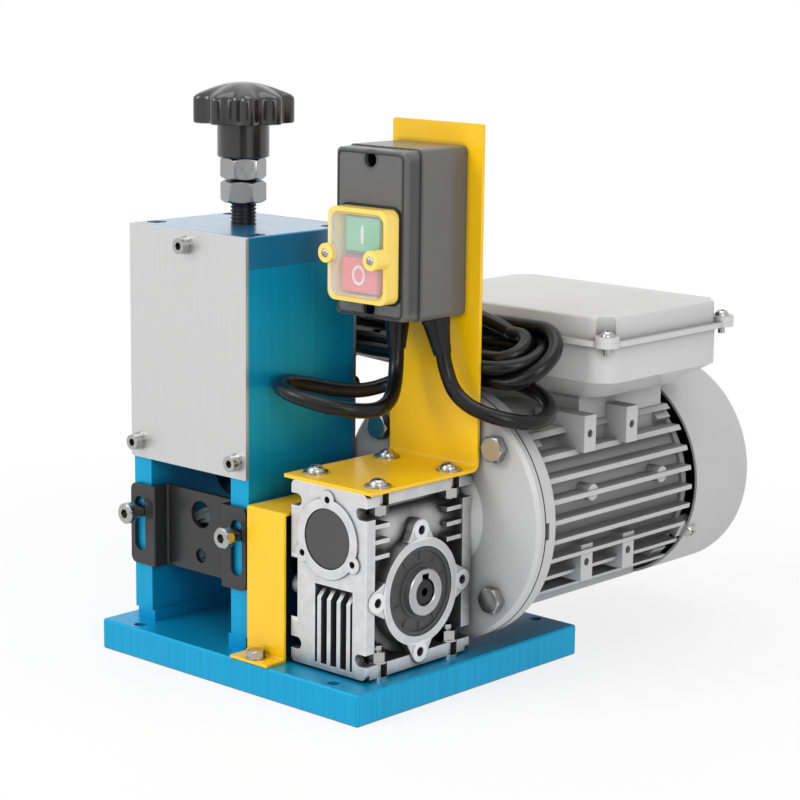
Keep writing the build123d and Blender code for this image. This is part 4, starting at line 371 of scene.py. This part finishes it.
# name, colour, roughness, texture, depth
knob_plastic = moulded("knob_black", (0.012, 0.012, 0.012), 0.24, 300, 0.000004, coat=0.4)
box_plastic = moulded(
    "switch_grey", (0.105, 0.105, 0.107), 0.4, 2600, 0.00003, coat=0.35, rim=1.0
)
bezel_plastic = moulded("bezel_yellow", (1.0, 0.72, 0.14), 0.3, 900, 0.00002, coat=0.3)
green_plastic = moulded("button_green", (0.03, 0.50, 0.21), 0.34, 600, 0.00002)
red_plastic = moulded("button_red", (0.86, 0.04, 0.06), 0.34, 600, 0.00002)
seal_rubber = moulded("seal_rubber", (0.055, 0.055, 0.056), 0.52, 1400, 0.00004)
black_plastic = moulded(
    "black_moulding", (0.004, 0.004, 0.005), 0.34, 1200, 0.00001, shine=0.3
)
jacket = moulded("cord_jacket", (0.003, 0.003, 0.004), 0.3, 500, 0.00001, shine=0.3)

film = Finish("clear_film", (0.88, 0.89, 0.9), roughness=0.14, Coat_Weight=0.6)
ripple = film.noise(70.0)
film.set("Alpha", ripple * 0.14 + 0.12)
film.relief(ripple, depth=0.0002)

print("finishes", len(bpy.data.materials))

# %% [markdown]
# ## Which piece wears which finish
# The machine's own list of nodes is short enough to read, so it is written out, grouped
# by finish, and the notebook stops if a node is forgotten.

# %% Finishes on the CAD nodes
wears = {
    blue_upright: "left_side_plate right_side_plate base_plate",
    blue_flat: "top_block",
    sheet.material: "front_cover rear_cover",
    black_coat: "guide_bracket",
    yellow_coat: "switch_bracket coupling_guard",
    motor_paint: "input_flange motor_shield motor_frame rear_shield fan_cowl",
    lid_paint: "terminal_box terminal_lid",
    casting.material: "gearbox_housing gearbox_cover",
    turned_steel: "head_bearings output_hub worm "
    "output_bearings worm_bearings rotor motor_bearings",
    ground_steel: "cutter",
    dull_steel: "screw_nuts",
    zinc: "cover_screws guide_screws cutter_axle gearbox_studs flange_bolts "
    "motor_screws bracket_screws guard_bolt lug_screws",
    black_oxide: "adjusting_screw frame_screws press_block drive_shaft shaft_keys "
    "feed_roller",
    bronze: "worm_wheel",
    copper: "stator",
    knob_plastic: "knob",
    box_plastic: "switch_box switch_cover",
    bezel_plastic: "switch_bezel",
    green_plastic: "start_button",
    red_plastic: "stop_button",
    seal_rubber: "output_seals worm_cap",
    black_plastic: "fan motor_gland mains_plug cord_reliefs",
    jacket: "mains_cord mains_coil motor_lead",
    film.material: "switch_window",
}
dressed = set()
for finish, names in wears.items():
    for name in names.split():
        nodes[name].data.materials.clear()
        nodes[name].data.materials.append(finish)
        dressed.add(name)
assert dressed == set(nodes), dressed ^ set(nodes)
print("dressed nodes", len(dressed))

# %% [markdown]
# ## Surfaces from a grid
# The new pieces are surfaces: a function gives a point for each pair of parameters, numpy
# works the whole grid out at once, and the mesh takes it in one call. A grid closes on
# itself along its first parameter. Along the second it can close too, or end in flat
# caps.


# %% Grid surface helper
sharp_angle = math.radians(35)


def full_turn(steps):
    """Angles of one turn in equal steps, without the last that would close it."""
    return np.linspace(0, 2 * math.pi, steps, endpoint=False)


def surface(name, grid, finish, body, loop_v=False, caps=False):
    """A mesh from a grid of points, shape (u, v, 3), closed along u.

    loop_v closes it along v as well, and caps close its first and last v.
    """
    count_u, count_v = grid.shape[:2]
    index = np.arange(count_u * count_v).reshape(count_u, count_v)
    index = np.vstack([index, index[:1]])
    if loop_v:
        index = np.hstack([index, index[:, :1]])
    quads = [index[:-1, :-1], index[1:, :-1], index[1:, 1:], index[:-1, 1:]]
    faces = np.stack(quads, axis=-1).reshape(-1, 4).tolist()
    if caps:
        faces += [index[:-1, 0][::-1].tolist(), index[:-1, -1].tolist()]
    mesh = bpy.data.meshes.new(name)
    mesh.from_pydata(grid.reshape(-1, 3).tolist(), [], faces)
    mesh.polygons.foreach_set("use_smooth", np.ones(len(mesh.polygons), bool))
    mesh.set_sharp_from_angle(angle=sharp_angle)
    mesh.materials.append(finish)
    made = bpy.data.objects.new(name, mesh)
    bpy.context.scene.collection.objects.link(made)
    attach(made, body)
    print(name, "faces", len(mesh.polygons))
    return made


# %% [markdown]
# ## The mains cord
# The mains cord leaves the switch box, hangs in a loose loop beside the head, slips
# behind the bracket and joins a tied hank that leans on the terminal box. It is one
# quadratic NURBS line led by the route's control points, with the three and a half turns
# of the hank added by a loop, and its end lies on the hank with the plug. The turns
# differ in size, as they do when a hand winds them.

# %% Cord routes
mm = 0.001
cord_d = 8 * mm
coil_centre = np.array([28, 33.2, 175.3]) * mm
coil_tilt = math.radians(28)
coil_across = np.array([0, math.cos(coil_tilt), math.sin(coil_tilt)])
coil_up = np.array([0, -math.sin(coil_tilt), math.cos(coil_tilt)])

# millimetres on the machine
mains_route = [
    (47.5, -7.5, 197),
    (47.5, -7.5, 186),
    (47.5, -7.5, 177.4),
    (48.7, -9, 167),
    (53.5, -15.5, 158),
    (58.5, -25, 152),
    (60.5, -37, 150),
    (57, -49, 151),
    (48, -58, 153),
    (36.5, -63, 155.5),
    (25.5, -65, 157.7),
    (14.5, -61.5, 159.2),
    (7.3, -52.8, 159.6),
    (6.6, -41.5, 158.3),
    (9, -29.5, 155.2),
    (13.5, -17, 151.8),
    (18, -3.5, 150),
    (22, 9.5, 151.5),
    (31, 19, 157.5),
    (44, 18, 163),
]
# millimetres in the hank's own plane
tail_route = [
    (56, 12.5, 4),
    (41, 13.5, 9),
    (25.5, 12.5, 14.5),
    (10, 8.5, 18.8),
    (-6, 4.5, 20.4),
    (-22, 4.5, 20.4),
]


def on_coil(u, v, w):
    """A point of the hank's own plane, in millimetres, as a place on the machine."""
    return coil_centre + (np.array([u, 0, 0]) + v * coil_across + w * coil_up) * mm


def bend(side, tip, v0, w0, v1, w1):
    """Control points of a turn's round end, the corners of an octagon about it.

    side is 1 to the right and -1 to the left, tip is how far the end reaches, and the
    line comes in at v0, w0 and goes out at v1, w1.
    """
    early_rise = (w1 - w0) * 0.35
    radius = abs(v1 - v0) / 2
    centre = tip - radius
    corner = math.tan(math.pi / 8) * radius
    shares = (1 - math.tan(math.pi / 8)) / 2
    return [
        on_coil(side * (centre - corner), v0, w0),
        on_coil(side * (centre + corner), v0, w0),
        on_coil(side * tip, v0 + (v1 - v0) * shares, w0 + early_rise),
        on_coil(side * tip, v1 - (v1 - v0) * shares, w1 - early_rise),
        on_coil(side * (centre + corner), v1, w1),
        on_coil(side * (centre - corner), v1, w1),
    ]


# %% Points of the whole mains cord
# tip, v0, w0, v1, w1
right_ends = [
    (90, -19.4, -4.2, 19.4, 4.2),
    (80.6, -19.4, 4.2, 19.4, -4.2),
    (73.5, -11.2, -4.2, 11.2, -4.2),
    (73, -11.2, 4.2, 11.2, 4.2),
]
left_ends = [
    (90, 19.4, 4.2, -19.4, 4.2),
    (84, 19.4, -4.2, -11.2, -4.2),
    (76, 11.2, -4.2, -11.2, 4.2),
]
run_right = (-25, 24)
run_left = (25, -20)
sag = 0.5
mains_line = [np.array(point) * mm for point in mains_route]
for lap, (tip, v0, w0, v1, w1) in enumerate(right_ends):
    bow = sag * (-1) ** lap
    run = run_right if lap else run_right[1:]
    mains_line += [on_coil(u, v0 + bow, w0) for u in run]
    mains_line += bend(1, tip, v0, w0, v1, w1)
    if lap < len(left_ends):
        mains_line += [on_coil(u, v1 - bow, w1) for u in run_left]
        mains_line += bend(-1, *left_ends[lap])
mains_line += [on_coil(*point) for point in tail_route]
print("mains cord control points", len(mains_line))

# %% [markdown]
# The motor's lead leaves the box beside it, swings past the bracket's edge and runs
# behind the hank to the gland on the terminal box.

# %% Points of the motor lead
# millimetres on the machine
lead_route = [
    (76, -3.8, 197),
    (76.1, -3.7, 187),
    (76.3, -3.6, 177.6),
    (78.6, -2.8, 168),
    (84, -3.4, 159),
    (93, -2.5, 152.5),
    (104.5, 1, 148.5),
    (113.5, 9.5, 145.5),
    (118, 21.5, 143.5),
    (117, 34.5, 144.5),
    (109.5, 45, 148.5),
    (97, 51, 152.5),
    (81, 52.5, 155.5),
    (62, 51, 156.5),
    (35, 50.5, 157),
    (7, 50.5, 158),
    (-19, 50.5, 159.5),
    (-41.4, 50.6, 160.5),
    (-54.3, 58, 161.5),
    (-61.7, 70.9, 162.5),
    (-61.7, 85.7, 163.3),
    (-54.3, 98.6, 164),
    (-41.4, 106, 164),
    (-30, 106, 164),
]
lead_line = [np.array(point) * mm for point in lead_route]


# %% Cords as NURBS curves
def cord_curve(name, points):
    """A round cord: one quadratic NURBS spline with these points as its control points."""
    curve = bpy.data.curves.new(name, "CURVE")
    curve.dimensions = "3D"
    spline = curve.splines.new("NURBS")
    spline.points.add(len(points) - 1)
    flat = np.hstack([np.array(points), np.ones((len(points), 1))])
    spline.points.foreach_set("co", flat.ravel())
    spline.order_u = 3
    spline.use_endpoint_u = True
    curve.resolution_u = 8
    curve.bevel_depth = cord_d / 2
    curve.bevel_resolution = 5
    curve.use_fill_caps = True
    curve.materials.append(jacket)
    made = bpy.data.objects.new(name, curve)
    bpy.context.scene.collection.objects.link(made)
    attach(made, "machine")
    return made


def line_length(cord):
    """Length of a cord's own line, from its spline with no thickness."""
    curve = cord.data.copy()
    curve.bevel_depth = 0
    bare = bpy.data.objects.new("bare_line", curve)
    mesh = bpy.data.meshes.new_from_object(bare)
    points = np.empty(len(mesh.vertices) * 3)
    mesh.vertices.foreach_get("co", points)
    steps = np.diff(points.reshape(-1, 3), axis=0)
    bpy.data.objects.remove(bare)
    return float(np.linalg.norm(steps, axis=1).sum())


mains_cord = cord_curve("mains_cord_line", mains_line)
motor_cord = cord_curve("motor_lead_line", lead_line)
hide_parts("mains_cord", "mains_coil")
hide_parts("motor_lead")
mains_length = line_length(mains_cord)
lead_length = line_length(motor_cord)
print("mains cord", round(mains_length, 3), "motor lead", round(lead_length, 3))

# %% [markdown]
# ## The tie round the hank
# A black plastic tie holds the turns together. It is a thin strap: its section is a small
# rounded rectangle, carried along a loop that follows the turns as a rounded rectangle.


# %% Hank tie
def superellipse(angle, wide, high, power):
    """A rounded rectangle as a curve: cosine and sine flattened by a power under 1."""
    c, s = np.cos(angle), np.sin(angle)
    return wide * np.sign(c) * np.abs(c) ** power, high * np.sign(s) * np.abs(s) ** power


tie_place = -45.0
loop_wide, loop_high = 24.4, 9.2
strap_wide, strap_thick = 3.0, 0.6
round_loop = full_turn(96)
loop_v, loop_w = superellipse(round_loop, loop_wide, loop_high, 0.45)
strap_x, strap_out = superellipse(full_turn(12), strap_wide, strap_thick, 0.6)
outward = 1 + strap_out[:, None] / np.hypot(loop_v, loop_w)[None, :]
strap = (
    coil_centre
    + (tie_place + strap_x)[:, None, None] * mm * np.array([1, 0, 0])
    + (loop_v * outward)[:, :, None] * mm * coil_across
    + (loop_w * outward)[:, :, None] * mm * coil_up
)
tie = surface("hank_tie", strap[::-1], black_plastic, "machine", loop_v=True)

# %% [markdown]
# ## The thread of the adjusting screw
# The screw shows a black thread between the head and its nuts, and more of it as the knife
# is raised. A thread is a radius that rises and falls once per pitch along the rod and
# shifts by one pitch per turn. The rod is a grid of angle by height, with close rows only
# where the thread can be seen, and it stands in for the plain rod of the CAD model. Its
# wide foot turns inside the press block.

# %% Adjusting screw with its thread
screw_x = -43 * mm
screw_y = -32 * mm
rod_radius = 7.0
foot_radius, foot_high = 12.0, 6.0
tip_radius = 6.0
thread_pitch = 2.0
thread_deep = 0.75
thread_low, thread_high = 212.0, 262.0
rows_per_pitch = 12
screw_low, screw_high = (corner[2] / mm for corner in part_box("adjusting_screw"))
foot_top = screw_low + foot_high
fine_rows = np.arange(thread_low, thread_high, thread_pitch / rows_per_pitch)
# height, radius
plain_low = [
    (screw_low, foot_radius),
    (foot_top, foot_radius),
    (foot_top, rod_radius),
    (thread_low - 1, rod_radius),
]
plain_high = [
    (thread_high + 1, rod_radius),
    (screw_high - 1, rod_radius),
    (screw_high, tip_radius),
]
low_z, low_r = np.transpose(plain_low)
high_z, high_r = np.transpose(plain_high)
rod_z = np.concatenate([low_z, fine_rows, high_z])
rod_r = np.concatenate([low_r, np.full(len(fine_rows), rod_radius), high_r])
rod_angle = full_turn(48)[:, None]
phase = (rod_z / thread_pitch - rod_angle / (2 * math.pi)) % 1.0
# a flat crest, a flank that falls over a sixth of the pitch, and a flat root
groove = np.clip(np.abs(phase - 0.5) * 6 - 0.9, 0, 1)
# the groove runs out over the last pitch at either end
fade = np.clip(np.minimum(rod_z - thread_low, thread_high - rod_z) / thread_pitch, 0, 1)
rod_reach = rod_r - thread_deep * groove * fade
rod = np.stack(
    [
        screw_x + rod_reach * mm * np.cos(rod_angle),
        screw_y + rod_reach * mm * np.sin(rod_angle),
        rod_z * mm + 0 * rod_reach,
    ],
    -1,
)
threaded = surface("threaded_screw", rod, black_oxide, "screw", caps=True)
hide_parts("adjusting_screw")

# %% [markdown]
# ## The two nuts
# A machined nut is a hexagonal bar turned in a lathe: a cone takes its corners off. Per
# angle the hexagon has one radius and per height the cone has another, and the nut takes
# the smaller of the two. Both nuts stand in for the plain ones of the CAD model, each
# turned as it is in the photograph.

# %% Chamfered nuts
nuts_low, nuts_high = (end[2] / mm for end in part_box("screw_nuts"))
nut_high = 11.5
nut_bore = 7.1
nut_flat = 10.75
face_radius = 10.4
cone_high, cone_slope = 1.3, 1.6


def cone_nut(low, facing):
    """Grid of a nut that stands on the height low, with one flat towards facing.

    Its radius is the hexagon's, nut_flat / cos(angle off the flat), or the cone's,
    face_radius + cone_slope * height in from the face, whichever is smaller.
    """
    high = low + nut_high
    around = full_turn(96)[:, None]
    off_flat = (around + math.pi / 6) % (math.pi / 3) - math.pi / 6
    cone = np.linspace(0, cone_high, 8)
    cone_radius = face_radius + cone_slope * cone
    rise = np.concatenate([[low], low + cone, high - cone[::-1], [high]])
    limit = np.concatenate([[nut_bore], cone_radius, cone_radius[::-1], [nut_bore]])
    wide = np.minimum(nut_flat / np.cos(off_flat), limit)
    turned = around + facing
    place_x = screw_x + wide * mm * np.cos(turned)
    place_y = screw_y + wide * mm * np.sin(turned)
    return np.stack([place_x, place_y, rise * mm + 0 * wide], -1)


# name, height of the lower face, direction of a flat in degrees
nut_places = (
    ("nut_lower", nuts_low, -51),
    ("nut_upper", nuts_high - nut_high, -38),
)
for name, low, facing in nut_places:
    grid = cone_nut(low, math.radians(facing))
    made = surface(name, grid, dull_steel, "screw", loop_v=True)
    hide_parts("screw_nuts")

# %% [markdown]
# ## The star knob
# The knob is a moulded star with nine soft lobes and a domed top. One formula gives it:
# the radius is a mean with a cosine of nine waves on it, raised to a power under one so
# that the lobes are full, and the waves die out towards the boss below and towards the
# middle of the dome. It stands in for the plainer knob of the CAD model.

# %% Star knob
knob_low = 0.273
star_low = 0.2914
star_high = 0.3072
dome_top = 0.3129
lobes = 9
first_lobe = math.radians(-38.7)
lobe_deep = 2.6 * mm
lobe_power, lobe_inset = 0.8, 0.15
ring_angle = full_turn(192)
profile = np.array(
    [
        # radius in millimetres, height in metres, share of the lobes
        (8.2, knob_low, 0),
        (13.2, knob_low, 0),
        (14.0, knob_low + 0.8 * mm, 0),
        (14.0, star_low - 0.6 * mm, 0),
        (14.6, star_low - 0.05 * mm, 0),
        (15.5, star_low, 0.15),
        (23.4, star_low, 0.85),
        (24.7, star_low + 0.35 * mm, 1),
        (25.1, star_low + 1.4 * mm, 1),
        (25.1, star_high - 3.2 * mm, 1),
        (24.8, star_high - 1.9 * mm, 1),
        (23.7, star_high - 0.7 * mm, 0.95),
        (20.6, star_high + 0.9 * mm, 0.6),
        (15.0, star_high + 3.2 * mm, 0.22),
        (9.0, star_high + 4.9 * mm, 0.04),
        (4.0, dome_top - 0.1 * mm, 0),
        (0.02, dome_top, 0),
    ]
)
lobe = np.cos(lobes * (ring_angle - first_lobe))
lobe = np.sign(lobe) * np.abs(lobe) ** lobe_power - lobe_inset
knob_r = profile[None, :, 0] * mm + lobe_deep * profile[None, :, 2] * lobe[:, None]
knob_z = np.broadcast_to(profile[None, :, 1], knob_r.shape)
star = np.stack(
    [
        screw_x + knob_r * np.cos(ring_angle)[:, None],
        screw_y + knob_r * np.sin(ring_angle)[:, None],
        knob_z,
    ],
    -1,
)
star_knob = surface("star_knob", star, knob_plastic, "screw", caps=True)
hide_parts("knob")

# %% [markdown]
# ## Beads and seams
# Three thin lines make the joints of the machine read: the raised bead round the switch's
# cover, the black gasket under its yellow bezel, and the dark seam between the gearbox's
# flange and the motor. Each is a small circle carried along a rounded rectangle, and a
# rounded rectangle whose corners are as large as itself is a circle.


# %% Beads and seams
def outline(half_w, half_h, corner, steps):
    """Points of a rounded rectangle about the origin, and the directions out of it.

    Each corner is a quarter of a circle of that many points, moved out to its place.
    """
    quarter = np.linspace(0, math.pi / 2, steps)
    angle = np.concatenate([quarter + turn * math.pi / 2 for turn in range(4)])
    side_x = np.repeat([1, -1, -1, 1], steps) * (half_w - corner)
    side_y = np.repeat([1, 1, -1, -1], steps) * (half_h - corner)
    out = np.stack([np.cos(angle), np.sin(angle)], -1)
    return np.stack([side_x, side_y], -1) + corner * out, out


def bead(name, centre, sizes, radius, finish, steps=12):
    """A round bead along a rounded rectangle that stands upright and faces the front.

    sizes are the rectangle's half width, half height and corner radius, in millimetres.
    """
    line, out = outline(*sizes, steps)
    section = full_turn(10)[:, None]
    grid = np.stack(
        [
            centre[0] + line[:, 0] + radius * np.cos(section) * out[:, 0],
            centre[1] - radius * np.sin(section) + 0 * line[:, 0],
            centre[2] + line[:, 1] + radius * np.cos(section) * out[:, 1],
        ],
        -1,
    )
    return surface(name, grid * mm, finish, "machine", loop_v=True)


bead(
    "cover_bead",
    centre=(56, -38, 241),
    sizes=(22.4, 41.4, 3),
    radius=0.6,
    finish=box_plastic,
)
bead(
    "bezel_gasket",
    centre=(56.5, -38.3, 231),
    sizes=(20.9, 24.4, 5.4),
    radius=0.9,
    finish=black_plastic,
)
bead(
    "flange_seam",
    centre=(61, 17, 88.5),
    sizes=(69.8, 69.8, 69.8),
    radius=0.45,
    finish=black_plastic,
    steps=48,
)

# %% [markdown]
# ## Tabs on the gearbox's ring
# The four screw bosses of the ring sit on flared tabs. Seen from its screw hole, a tab's
# outline is an arc with two straight flanks that widen towards the ring. Rays from the
# hole to the outline make a flat ring with the hole left open, and it is carried back.

# %% Ring tabs
ring_y, ring_z = -32, 58.5
hole_circle = 32.5
hole_radius = 2.6
boss_radius = 5.9
root_out, root_half = -5.5, 9.6
tab_back, tab_edge, tab_front = 84.0, 88.3, 88.7
boss_arc = np.radians(np.linspace(-68, 68, 17))
# along half the root, round the boss, and back to the root's middle
tab_out = np.concatenate([[root_out] * 2, boss_radius * np.cos(boss_arc), [root_out] * 3])
tab_side = np.concatenate(
    [[-5, -root_half], boss_radius * np.sin(boss_arc), [root_half, 5, 0]]
)
tab_turn = np.arctan2(tab_side, tab_out)
tab_x = np.array([tab_back, tab_front, tab_front, tab_edge, tab_back])
tab_wide = np.array([0, 0, 0.95, 1.0, 1.0])
tab_hole = np.array([hole_radius, hole_radius, 0, 0, 0])
across = tab_out[:, None] * tab_wide + np.cos(tab_turn)[:, None] * tab_hole
aside = tab_side[:, None] * tab_wide + np.sin(tab_turn)[:, None] * tab_hole
for index in range(4):
    turned = index * math.pi / 2
    tab = np.stack(
        [
            tab_x + 0 * across,
            ring_y + (hole_circle + across) * math.cos(turned) - aside * math.sin(turned),
            ring_z + (hole_circle + across) * math.sin(turned) + aside * math.cos(turned),
        ],
        -1,
    )
    name = f"ring_tab_{index + 1}"
    surface(name, tab * mm, casting.material, "machine", loop_v=True)

# %% [markdown]
# ## Marks on the buttons
# The start button carries a bar and the stop button a ring, moulded in white. A ring is a
# small circle carried round a large one, a bar is a rounded slab; both stand a little
# proud of their button and are pressed with it.

# %% Button marks
white_mark = moulded("mark_white", (0.85, 0.85, 0.84), 0.4, 900, 0.00001)
button_x = 56.5 * mm
start_y = -44 * mm
stop_y = -46.6 * mm
start_z = 241.25 * mm
stop_z = 220.75 * mm
bar_wide, bar_high = 0.9, 4.6
bar_sunk = 0.1
wide, high = superellipse(round_loop, bar_wide, bar_high, 0.25)
bar_steps = np.array([0.0, 0.35, 0.5, 0.5])[None, :]
bar_size = np.array([1.0, 1.0, 0.9, 0.01])[None, :]
bar = np.stack(
    [
        button_x + wide[:, None] * bar_size * mm,
        start_y + (bar_sunk - bar_steps + 0 * wide[:, None]) * mm,
        start_z + high[:, None] * bar_size * mm,
    ],
    -1,
)
surface("start_mark", bar, white_mark, "start", caps=True)

ring_radius, ring_half, ring_proud = 4.4, 0.8, 0.45
ring_narrow = 0.85
around = full_turn(64)[:, None]
across = full_turn(10)[None, :]
ring_r = ring_radius + ring_half * np.cos(across)
ring = np.stack(
    [
        button_x + ring_narrow * ring_r * np.cos(around) * mm,
        stop_y - (ring_proud * np.sin(across) + 0 * around) * mm,
        stop_z + ring_r * np.sin(around) * mm,
    ],
    -1,
)
surface("stop_mark", ring, white_mark, "stop", loop_v=True)

# %% [markdown]
# ## Room and light
# The photograph is cut out on white. The floor is a wide pale plane under soft lamps. For
# rays that come straight from the camera, or off metal and glass, it glows plain white,
# but for a share close to the machine, where a soft shadow may show. The world likewise
# is dim for the light it gives and plain white where it is seen. The lamps are large and
# gentle, so a colour renders about as it was written.

# %% Floor
span = 40.0
shadow_share = 0.22
fade_start, fade_end = 0.2, 0.6
floor_corners = [(-span, -span, 0), (span, -span, 0), (span, span, 0), (-span, span, 0)]
floor_mesh = bpy.data.meshes.new("floor")
floor_mesh.from_pydata(floor_corners, [], [(0, 1, 2, 3)])
floor = bpy.data.objects.new("floor", floor_mesh)
bpy.context.scene.collection.objects.link(floor)
ground = Finish("pale_floor", (0.92, 0.92, 0.92), roughness=0.6)
path = ground.add("ShaderNodeLightPath")
seen = Wave(ground, path.outputs["Is Camera Ray"]) + Wave(ground, path.outputs["Is Glossy Ray"])
seen = seen + Wave(ground, path.outputs["Is Transmission Ray"])
glow = ground.add("ShaderNodeEmission", None, {"Color": (1, 1, 1, 1), "Strength": 1.0})
blend = ground.add("ShaderNodeMixShader")
away = ground.add("ShaderNodeVectorMath", {"operation": "LENGTH"}, {0: ground.place})
distance = Wave(ground, away.outputs["Value"])
seen = seen.join("MINIMUM", seen, 1.0)
white = distance.band(fade_start, fade_end) * shadow_share + (1 - shadow_share)
ground.feed(blend.inputs[0], seen * white)
ground.feed(blend.inputs[1], ground.shader.outputs[0])
ground.feed(blend.inputs[2], glow.outputs[0])
ground.feed(ground.tree.nodes["Material Output"].inputs["Surface"], blend.outputs[0])
floor_mesh.materials.append(ground.material)

# %% [markdown]
# Bright metal and black gloss only read as such when something dark stands among the
# white. One black card stands on the floor in front of the camera and is seen in
# reflections alone, so the faces that look at the camera go dark and the ones beside
# them stay light.

# %% Dark card
card_way = 0.7
card_half = 0.24
card_high = 0.55
card_foot = Vector((card_way * cam_place.x, card_way * cam_place.y, 0))
card_side = card_half * level_right
card_rise = Vector((0, 0, card_high))
card_mesh = bpy.data.meshes.new("dark_card")
card_rows = (card_foot - card_side, card_foot + card_side)
card_points = [*card_rows, card_rows[1] + card_rise, card_rows[0] + card_rise]
card_mesh.from_pydata([tuple(point) for point in card_points], [], [(0, 1, 2, 3)])
card_mesh.materials.append(Finish("card_black", (0.01, 0.01, 0.01), roughness=0.9).material)
card = bpy.data.objects.new("dark_card", card_mesh)
bpy.context.scene.collection.objects.link(card)
card.visible_camera = False
card.visible_diffuse = False
card.visible_shadow = False

# %% World
light_given, light_seen = 0.4, 1.0
world = bpy.data.worlds.new("studio")
bpy.context.scene.world = world
world.use_nodes = True
tree = world.node_tree
back = tree.nodes["Background"]
light_path = tree.nodes.new("ShaderNodeLightPath")
not_diffuse = tree.nodes.new("ShaderNodeMath")
not_diffuse.operation = "SUBTRACT"
not_diffuse.inputs[0].default_value = 1.0
tree.links.new(light_path.outputs["Is Diffuse Ray"], not_diffuse.inputs[1])
strength = tree.nodes.new("ShaderNodeMapRange")
tree.links.new(not_diffuse.outputs[0], strength.inputs[0])
strength.inputs["To Min"].default_value = light_given
strength.inputs["To Max"].default_value = light_seen
tree.links.new(strength.outputs[0], back.inputs["Strength"])
back.inputs["Color"].default_value = (1, 1, 1, 1)


# %% Lamps
def lamp(name, place, target, size, power):
    """A soft square lamp at a place, turned to a target."""
    light = bpy.data.lights.new(name, "AREA")
    light.size = size
    light.energy = power
    made = bpy.data.objects.new(name, light)
    bpy.context.scene.collection.objects.link(made)
    made.location = place
    aim = Vector(target) - Vector(place)
    made.rotation_euler = aim.to_track_quat("-Z", "Y").to_euler()


middle = (0.02, 0.05, 0.15)
lamp("key", (-0.7, -1.5, 1.3), middle, size=0.9, power=16)
lamp("side", (1.6, -1.1, 0.8), middle, size=1.0, power=17)
lamp("top", (0.1, 0.1, 1.7), middle, size=1.2, power=9)

bpy.context.scene.view_settings.view_transform = "Standard"
